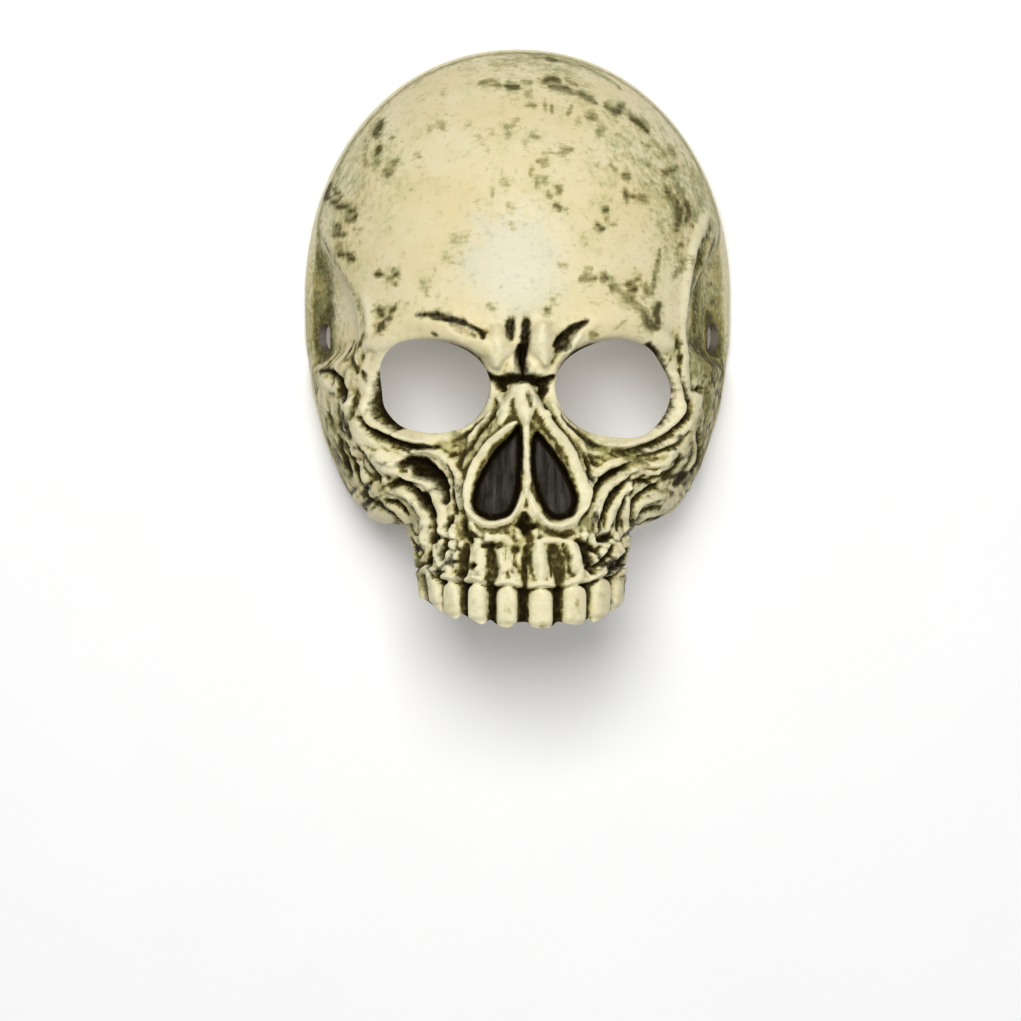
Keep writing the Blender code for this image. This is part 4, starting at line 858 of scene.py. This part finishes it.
def coats(places, carving, drawn, carved_zone, gum):
    """The ink, wash with painted shade, wiped bone and stain at each place, from its carving and the lines
    drawn there.
    """
    x, y, z = places[..., 0], places[..., 1], places[..., 2]
    ink, spread, wiped, stain = drawn
    low, proud = hollows_and_ridges(carving)
    nostril = np.maximum(depth_inside(x, y, LEFT_NOSTRIL), depth_inside(x, y, RIGHT_NOSTRIL))
    # Deep in the nose hollows the ink thins, where the painted grey sheen takes over.
    nostril_ink = smoothstep(nostril + 0.6) - 0.24 * smoothstep((nostril - 2.2) / 2)
    ink = smoothed(np.maximum(ink, nostril_ink), 1)
    wash_and_shade = low * (0.35 + 0.65 * carved_zone) + 0.45 * spread + 0.38 * carved_zone * (1 - 0.7 * gum)
    # The wash grows towards the rim: partly the olive wash of the sides, partly painted shade where the
    # sides turn from the light.
    rim = smoothstep((30 - z) / 26)
    wash_and_shade += 0.10 * smoothstep(inside_temples(x, y) / 4) + 0.30 * rim + smoothstep(nostril)
    for middle, level, half_width, half_height, strength in TINTS:
        away = np.hypot((x - middle) / half_width, (y - level) / half_height)
        wash_and_shade += strength * (1 - smoothstep(away))
    wiped = wiped + proud * (0.3 + 0.7 * carved_zone) + 0.35 * smoothstep((RIM_BAND - z) / 3)
    # The floors of the nose hollows are marked in the stain for the painted grey sheen.
    stain = np.maximum(stain, SHEEN_MARK * smoothstep((nostril - 1.4) / 1.6))

    # Near the rim the paint stops at a clean band, with a stained line above it, both strongest on the dome.
    dome = 0.5 + 0.5 * smoothstep((y - 20) / 20)
    band = smoothstep((RIM_LINE - z) / 3)
    edge = band * dome
    beside = smoothstep((z - RIM_LINE) / 2) * smoothstep((RIM_LINE + STAIN_ABOVE_RIM - z) / 6)
    ink = ink * (1 - band)
    wash_and_shade = wash_and_shade * (1 - 0.8 * edge)
    wiped = wiped + 0.8 * edge
    stain = np.maximum(stain * (1 - edge), 0.45 * beside * dome)
    return ink, np.clip(wash_and_shade, 0, 1), np.clip(wiped, 0, 1), stain


def hollows_and_ridges(carving):
    """How low each place lies among its neighbours, and how proud it stands of them."""
    close = smoothed(carving, CLOSE_PASSES)
    broad = smoothed(carving, BROAD_PASSES)
    low = np.clip((close - carving) / 0.5, 0, 1) * 0.45 + np.clip((broad - carving - 0.1) / 1.5, 0, 1)
    proud = np.clip((carving - close) / 0.4, 0, 1) * 0.5 + np.clip((carving - broad) / 1.1, 0, 1)
    return low, proud


def painted_lines(x, y):
    """The ink, the thin ink beside its lines, the wiped bone and the stain that are drawn at each place."""
    ink, spread, wiped, stain = np.zeros((4,) + x.shape)
    for half_width, _, tone, points in STROKES:
        if tone == 0:
            continue
        profile = stroke_profile(x, y, max(half_width, LEAST_PAINTED) * 1.1, points) ** 0.75
        if tone > 0:
            ink = np.maximum(ink, tone * profile)
            thin = stroke_profile(x, y, half_width * INK_SPREAD + INK_SPREAD, points)
            spread = np.maximum(spread, tone * thin)
        else:
            wiped = np.maximum(wiped, -tone * profile)
    for half_width, strength, points in STAINS:
        core = stroke_profile(x, y, half_width * CORE_WIDTH, points)
        halo = stroke_profile(x, y, half_width * HALO_WIDTH + HALO_EDGE, points)
        stain = np.maximum(stain, strength * (CORE_SHARE * core + HALO_SHARE * halo))
    return ink, spread, wiped, stain


def inner_surface():
    """The inside runs smoothly below the lowest carving nearby, by one wall's thickness."""
    levels = level_rows(LOWEST - INSIDE_OVERRUN, INNER_LEVELS, INNER_FACE_SHARE)
    places, normals = bare_form(levels, np.radians(np.linspace(-HALF_SWEEP, HALF_SWEEP, INNER_COLUMNS)))
    x, y = places[..., 0], places[..., 1]
    lowest = np.full(x.shape, INSIDE_LIMIT)
    for reach in (0, INSIDE_REACH / 2, INSIDE_REACH):
        for turn in np.linspace(0, 2 * math.pi, INSIDE_RING if reach else 1, endpoint=False):
            near_x, near_y = x + reach * np.cos(turn), y + reach * np.sin(turn)
            height = carved_lines(near_x, near_y) - sunk(near_x, near_y, ORBITS)
            lowest = np.minimum(lowest, height + teeth_relief(near_x, near_y)[0])
    height = stand_off(places, smoothed(lowest, 3)) - WALL
    shape = places + normals * height[..., None]
    shape[..., 2] -= smoothed(sunk(x, y, NOSTRILS, INSIDE_REACH), 2)
    return shape


def loft(name, rows):
    """A closed mesh through rows of points: each is closed across the rear, and the two ends are capped."""
    count, width = rows.shape[:2]
    flat = rows.reshape(-1, 3) * MM
    here = np.arange(count * width).reshape(count, width)
    right = np.roll(here, -1, axis=1)
    low, low_right, high, high_right = here[:-1], right[:-1], here[1:], right[1:]
    quads = np.stack([low, low_right, high_right, high], axis=-1).reshape(-1, 4)
    faces = quads.tolist() + [here[0][::-1].tolist(), here[-1].tolist()]
    mesh = bpy.data.meshes.new(name)
    mesh.from_pydata(flat.tolist(), [], faces)
    return bpy.data.objects.new(name, mesh)


def prism(name, outline, low, high, turn=(0, 0, 0)):
    """A flat outline extruded from low to high along its own normal, and turned into place."""
    stand = Euler(turn).to_matrix().to_4x4()
    mesh = bpy.data.meshes.new(name)
    shape = bmesh.new()
    rings = []
    for height in (low, high):
        rings.append([shape.verts.new(stand @ Vector((x * MM, y * MM, height * MM))) for x, y in outline])
    for i in range(len(outline)):
        j = (i + 1) % len(outline)
        shape.faces.new((rings[0][i], rings[0][j], rings[1][j], rings[1][i]))
    caps = [shape.faces.new(rings[0][::-1]), shape.faces.new(rings[1])]
    bmesh.ops.triangulate(shape, faces=caps)
    bmesh.ops.recalc_face_normals(shape, faces=shape.faces)
    shape.to_mesh(mesh)
    shape.free()
    return bpy.data.objects.new(name, mesh)


def slot_outline():
    """A rounded slot as seen from the side: level and forward place."""
    radius = SLOT_WIDTH / 2
    straight = SLOT_HEIGHT / 2 - radius
    outline = []
    for end, first in ((1, -90), (-1, 90)):
        for degrees in np.linspace(first, first + 180, 13):
            level = SLOT_LEVEL + end * straight + radius * math.cos(math.radians(degrees))
            outline.append((level, SLOT_FORWARD + radius * math.sin(math.radians(degrees))))
    return outline


def cutters():
    """The inside of the mask, the floor that it lies on, the trimmed edges, and the openings."""
    yield loft("inside", inner_surface())
    yield prism("floor", ((-FAR, -FAR), (FAR, -FAR), (FAR, FAR), (-FAR, FAR)), -FAR, 0)
    side = [(level, forward) for forward, level in smooth_curve(CHEEK_TRIM, per_span=6)]
    side += [(-FAR, side[-1][1]), (-FAR, side[0][1])]
    yield prism("cheek_trim", side, -FAR, FAR, SEEN_FROM_THE_SIDE)
    below = [(-FAR, BITE_EDGE[0][1]), (-FAR, -FAR), (FAR, -FAR), (FAR, BITE_EDGE[-1][1])]
    yield prism("bite_edge", below + list(smooth_curve(BITE_EDGE, per_span=3)[::-1]), 0, FAR)
    yield prism("left_eye", smooth_curve(LEFT_EYE, closed=True), 0, FAR)
    yield prism("right_eye", smooth_curve(RIGHT_EYE, closed=True), 0, FAR)
    yield prism("strap_slots", slot_outline(), -FAR, FAR, SEEN_FROM_THE_SIDE)


class Nodes:
    """Short ways to add nodes to one material."""

    def __init__(self, name):
        self.material = bpy.data.materials.new(name)
        self.material.use_nodes = True
        self.tree = self.material.node_tree
        self.shader = self.tree.nodes["Principled BSDF"]

    def add(self, kind, settings=None, **inputs):
        node = self.tree.nodes.new(kind)
        for key, value in (settings or {}).items():
            setattr(node, key, value)
        for key, value in inputs.items():
            self.set(node.inputs[int(key[1:]) if key[1:].isdigit() else key], value)
        return node

    def set(self, socket, value):
        if isinstance(value, bpy.types.NodeSocket):
            self.tree.links.new(value, socket)
        else:
            socket.default_value = value

    def math(self, operation, a, b):
        return self.add("ShaderNodeMath", {"operation": operation}, i0=a, i1=b).outputs[0]

    def sum(self, value, *noises, less=0.0):
        """A value, plus each noise about its middle times a share, less another value."""
        for texture, share in noises:
            about_middle = self.math("SUBTRACT", texture, 0.5)
            value = self.math("ADD", value, self.math("MULTIPLY", about_middle, share))
        return self.math("SUBTRACT", value, less)

    def part_mix(self, factor, share, a, b):
        """From a towards b by a share of the factor."""
        return self.mix(self.math("MULTIPLY", factor, share), a, b)

    def texture_noise(self, place, size_mm, detail=3.0, rough=0.55):
        node = self.add("ShaderNodeTexNoise", None, Vector=place, Scale=1000 / size_mm, Detail=detail,
                        Roughness=rough)
        return node.outputs["Fac"]

    def ramp(self, value, low, high):
        """0 below low, 1 above high, smooth in between."""
        settings = {"interpolation_type": "SMOOTHSTEP"}
        node = self.add("ShaderNodeMapRange", settings, Value=value)
        node.inputs["From Min"].default_value = low
        node.inputs["From Max"].default_value = high
        return node.outputs["Result"]

    def mix(self, factor, a, b):
        node = self.add("ShaderNodeMix", {"data_type": "RGBA"})
        self.set(node.inputs["Factor"], factor)
        self.set(node.inputs["A"], a)
        self.set(node.inputs["B"], b)
        return node.outputs["Result"]


BONE_PALE = (0.83, 0.75, 0.48, 1)
BONE_WARM = (0.81, 0.69, 0.39, 1)
BONE_GREEN = (0.66, 0.62, 0.30, 1)
BONE_CLEAN = (0.90, 0.84, 0.56, 1)
# Painted highlight: paler, less yellow bone round the middle of the forehead, where the glare lies.
BONE_GLARE = (0.74, 0.71, 0.55, 1)
GLARE_PLACE, GLARE_REACH = (-0.005, 0.028, 0.084), 0.032
AGED = (0.48, 0.42, 0.155, 1)
AGED_GREEN = (0.36, 0.37, 0.15, 1)
WASH = (0.22, 0.185, 0.058, 1)
GRIME = (0.060, 0.045, 0.012, 1)
INK = (0.012, 0.008, 0.003, 1)
HOLLOW_DARK = (0.020, 0.018, 0.014, 1)
# Painted sheen: the grey streaks on the dark floors of the nose hollows stand for the reflection on their
# black paint.
SHEEN_GREY = (0.068, 0.062, 0.052, 1)
RAW_EDGE = (0.66, 0.52, 0.40, 1)
# Painted shade: dark brown for the strap slots' cut edges, for the dark inside the slots.
SLOT_SHADE_COLOUR = (0.11, 0.085, 0.06, 1)
INSIDE = (0.70, 0.62, 0.44, 1)


def painted_bone():
    """Bone-coloured paint, olive wash in hollows, brushed stains, ink in the deepest lines, painted
    highlight, shade, sheen.
    """
    n = Nodes("painted_bone")
    place = n.add("ShaderNodeTexCoord").outputs["Object"]
    paint = n.add("ShaderNodeAttribute", {"attribute_name": "paint"})
    split = n.add("ShaderNodeSeparateColor", None, Color=paint.outputs["Color"])
    ink, wash_and_shade, wiped = split.outputs["Red"], split.outputs["Green"], split.outputs["Blue"]
    stain = paint.outputs["Alpha"]
    broad = n.texture_noise(place, 38, 3)
    blotch = n.texture_noise(place, 11, 5, 0.62)
    middle = n.texture_noise(place, 3.6, 4, 0.6)
    mottle = n.texture_noise(place, 2.1, 2, 0.5)
    fine = n.texture_noise(place, 1.3, 3, 0.6)
    patchy = n.texture_noise(place, 7.5, 3, 0.6)
    brushed_way = n.add("ShaderNodeVectorMath", {"operation": "MULTIPLY"}, i0=place, i1=(0.34, 1.0, 0.7))
    brushed = n.texture_noise(brushed_way.outputs[0], 1.5, 4, 0.65)
    upright_way = n.add("ShaderNodeVectorMath", {"operation": "MULTIPLY"}, i0=place, i1=(1.0, 0.12, 0.8))
    upright = n.texture_noise(upright_way.outputs[0], 2.2, 3, 0.6)

    bone = n.mix(n.ramp(broad, 0.38, 0.62), BONE_PALE, BONE_WARM)
    bone = n.part_mix(n.ramp(blotch, 0.44, 0.68), 0.50, bone, BONE_GREEN)
    bone = n.part_mix(n.ramp(patchy, 0.56, 0.74), 0.35, bone, AGED)
    bone = n.part_mix(wiped, n.ramp(middle, 0.25, 0.62), bone, BONE_CLEAN)

    # Painted highlight round a spot on the middle of the forehead.
    away = n.add("ShaderNodeVectorMath", {"operation": "DISTANCE"}, i0=place, i1=GLARE_PLACE)
    nearness = n.math("SUBTRACT", 1.0, n.math("DIVIDE", away.outputs["Value"], GLARE_REACH))
    glare_patch = n.sum(nearness, (blotch, 0.9), (brushed, 0.7))
    bone = n.part_mix(n.ramp(glare_patch, 0.10, 0.75), 0.75, bone, BONE_GLARE)

    # The olive wash, which towards the rim is partly painted shade.
    held_off = n.math("MULTIPLY", wiped, 0.62)
    aged = n.mix(n.ramp(patchy, 0.45, 0.66), AGED, AGED_GREEN)
    thin = n.sum(wash_and_shade, (blotch, 0.9), (middle, 0.9), (mottle, 0.7), (upright, 0.5), less=held_off)
    colour = n.part_mix(n.ramp(thin, 0.04, 0.66), 0.90, bone, aged)
    colour = n.part_mix(n.ramp(thin, 0.40, 1.05), 0.90, colour, WASH)
    thick = n.sum(wash_and_shade, (blotch, 0.6), (middle, 1.5), (mottle, 0.8), (fine, 0.8), less=held_off)
    colour = n.part_mix(n.ramp(thick, 0.50, 1.05), 0.92, colour, GRIME)

    dabs = n.sum(stain, (brushed, 0.8), (mottle, 0.5), (fine, 0.2))
    colour = n.part_mix(n.ramp(dabs, 0.04, 0.46), 0.70, colour, aged)
    colour = n.part_mix(n.ramp(dabs, 0.20, 0.95), 0.92, colour, GRIME)

    lines = n.sum(ink, (middle, 0.7), (mottle, 0.6), (fine, 0.3))
    colour = n.part_mix(n.ramp(lines, 0.08, 0.72), 0.80, colour, GRIME)
    colour = n.mix(n.ramp(lines, 0.46, 0.98), colour, INK)
    # Painted sheen: grey streaks over the dark floors of the nose hollows.
    sheen_streaks = n.mix(n.ramp(upright, 0.34, 0.70), HOLLOW_DARK, SHEEN_GREY)
    colour = n.mix(n.ramp(stain, 1.3, SHEEN_MARK), colour, sheen_streaks)
    n.set(n.shader.inputs["Base Color"], colour)
    dulled = n.math("MAXIMUM", n.math("ADD", wash_and_shade, stain), n.math("MULTIPLY", ink, 0.7))
    dulled = n.math("MULTIPLY", n.math("MINIMUM", dulled, 1.0), 0.24)
    n.set(n.shader.inputs["Specular IOR Level"], n.math("SUBTRACT", 0.25, dulled))

    n.set(n.shader.inputs["Roughness"], n.math("ADD", 0.38, n.math("MULTIPLY", fine, 0.16)))
    bumps = n.math("ADD", n.math("MULTIPLY", middle, 0.65), n.math("MULTIPLY", fine, 0.35))
    washed = n.math("ADD", n.math("MULTIPLY", wash_and_shade, 0.8), 0.2)
    bumps = n.math("MULTIPLY", bumps, washed)
    bump = n.add("ShaderNodeBump", None, Height=bumps, Strength=0.6, Distance=0.0008)
    n.set(n.shader.inputs["Normal"], bump.outputs["Normal"])
    return n.material


def plain_moulding(name, colour, size_mm, roughness):
    """An even colour with soft mottling and a fine pebbled surface: unpainted moulding, or the slots'
    painted shade.
    """
    n = Nodes(name)
    place = n.add("ShaderNodeTexCoord").outputs["Object"]
    mottled = n.ramp(n.texture_noise(place, 22, 4), 0.3, 0.7)
    darker = tuple(0.82 * c for c in colour[:3]) + (1,)
    n.set(n.shader.inputs["Base Color"], n.mix(mottled, darker, colour))
    n.set(n.shader.inputs["Roughness"], roughness)
    pebbles = n.texture_noise(place, size_mm, 3, 0.6)
    bump = n.add("ShaderNodeBump", None, Height=pebbles, Strength=0.3, Distance=0.0004)
    n.set(n.shader.inputs["Normal"], bump.outputs["Normal"])
    return n.material


# The places of the mask's materials in its list. The outer surface has the first, 0.
INSIDE_SLOT, EDGE_SLOT, SLOT_SHADE_INDEX = 1, 2, 3
TOOL_SLOTS = {"inside": INSIDE_SLOT, "strap_slots": SLOT_SHADE_INDEX}


def make_mask():
    """The shell: the carved outer form, less its inside and its openings."""
    shape, *coats = outer_surface()
    materials = [
        painted_bone(),
        plain_moulding("bare_inside", INSIDE, 1.8, 0.62),
        plain_moulding("cut_edge", RAW_EDGE, 0.9, 0.7),
        # The strap slots' cut edges get the painted shade.
        plain_moulding("slot_edge_shade", SLOT_SHADE_COLOUR, 0.9, 0.6),
    ]
    whole = loft("carved_form", shape)
    tools = list(cutters())
    for thing in [whole] + tools:
        for material in materials:
            thing.data.materials.append(material)
        bpy.context.scene.collection.objects.link(thing)
    for tool in tools:
        slot = TOOL_SLOTS.get(tool.name, EDGE_SLOT)
        tool.data.polygons.foreach_set("material_index", [slot] * len(tool.data.polygons))
        modifier = whole.modifiers.new("Cut " + tool.name, "BOOLEAN")
        modifier.operation = "DIFFERENCE"
        modifier.solver = "MANIFOLD"
        modifier.object = tool
    graph = bpy.context.evaluated_depsgraph_get()
    mesh = bpy.data.meshes.new_from_object(whole.evaluated_get(graph))
    for thing in [whole] + tools:
        bpy.data.objects.remove(thing)
    mask = bpy.data.objects.new("skull_mask", mesh)
    bpy.context.scene.collection.objects.link(mask)
    mesh.name = "skull_mask"
    finish_shell(mesh)
    paint_shell(mesh, shape, coats)
    return mask


def finish_shell(mesh):
    """Smooth shading, with a crisp line wherever the outside, the inside and a cut edge meet."""
    mesh.shade_smooth()
    shape = bmesh.new()
    shape.from_mesh(mesh)
    for edge in shape.edges:
        slots = {face.material_index for face in edge.link_faces}
        edge.smooth = len(slots) == 1
    shape.to_mesh(mesh)
    shape.free()


def paint_shell(mesh, shape, coats):
    """Gives each point of the outer surface the coats of paint of the grid point that it came from."""
    grid = shape.reshape(-1, 3) * MM
    tree = kdtree.KDTree(len(grid))
    for i, place in enumerate(grid):
        tree.insert(place, i)
    tree.balance()
    paint = np.stack(coats, axis=-1).reshape(-1, 4)
    nearest = [tree.find(vertex.co)[1] for vertex in mesh.vertices]
    layer = mesh.attributes.new("paint", "FLOAT_COLOR", "POINT")
    layer.data.foreach_set("color", paint[nearest].ravel())


FLOOR_SHADE, FLOOR_LIGHT = (0.93, 0.93, 0.93, 1), (0.96, 0.96, 0.96, 1)
FLOOR_SIZE = 4


def floor_material():
    n = Nodes("pale_floor")
    place = n.add("ShaderNodeTexCoord").outputs["Object"]
    cloudy = n.texture_noise(place, 60, 2)
    n.set(n.shader.inputs["Base Color"], n.mix(cloudy, FLOOR_SHADE, FLOOR_LIGHT))
    n.set(n.shader.inputs["Roughness"], 0.9)
    n.set(n.shader.inputs["Emission Color"], (1, 1, 1, 1))
    n.set(n.shader.inputs["Emission Strength"], 0.10)
    return n.material


def make_floor():
    mesh = bpy.data.meshes.new("floor")
    shape = bmesh.new()
    bmesh.ops.create_grid(shape, x_segments=1, y_segments=1, size=FLOOR_SIZE)
    shape.to_mesh(mesh)
    shape.free()
    floor = bpy.data.objects.new("floor", mesh)
    mesh.materials.append(floor_material())
    bpy.context.scene.collection.objects.link(floor)


# The camera looks almost straight down on the face, from far off and a little to the left.
VIEW_YAW = math.radians(1.2)
VIEW_DISTANCE = 8.0
EYE_PLANE = 0.075
VIEW_TARGET = Vector((-0.0042, -0.0639, EYE_PLANE))
PICTURE_WIDTH, PIXEL_SIZE = 1021, 0.000366
VIEW_WIDTH = PICTURE_WIDTH * PIXEL_SIZE
SENSOR = 36.0


def make_camera():
    data = bpy.data.cameras.new("camera")
    data.sensor_width = SENSOR
    data.lens = SENSOR * VIEW_DISTANCE / VIEW_WIDTH
    data.clip_start, data.clip_end = 0.1, 20
    camera = bpy.data.objects.new("camera", data)
    camera.location = VIEW_TARGET + VIEW_DISTANCE * Vector((-math.sin(VIEW_YAW), 0, math.cos(VIEW_YAW)))
    camera.rotation_euler = (0, -VIEW_YAW, 0)
    bpy.context.scene.collection.objects.link(camera)
    bpy.context.scene.camera = camera


def make_light(name, place, size, power, aim=(0, 0, 0.05)):
    data = bpy.data.lights.new(name, "AREA")
    data.shape = "SQUARE"
    data.size = size
    data.energy = power
    light = bpy.data.objects.new(name, data)
    light.location = place
    light.rotation_euler = (Vector(aim) - Vector(place)).to_track_quat("-Z", "Y").to_euler()
    bpy.context.scene.collection.objects.link(light)


def make_lights():
    make_light("key", (-0.12, 0.50, 1.82), 0.9, 28.5)
    make_light("fill", (0.40, -0.40, 1.9), 1.2, 9.0)
    world = bpy.data.worlds.new("studio")
    bpy.context.scene.world = world
    world.use_nodes = True
    background = world.node_tree.nodes["Background"]
    background.inputs["Color"].default_value = (1, 1, 1, 1)
    background.inputs["Strength"].default_value = 0.05
    bpy.context.scene.view_settings.view_transform = "Standard"


make_camera()
make_lights()
make_floor()
mask = make_mask()
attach(mask, "root")
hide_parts("mask_shell")
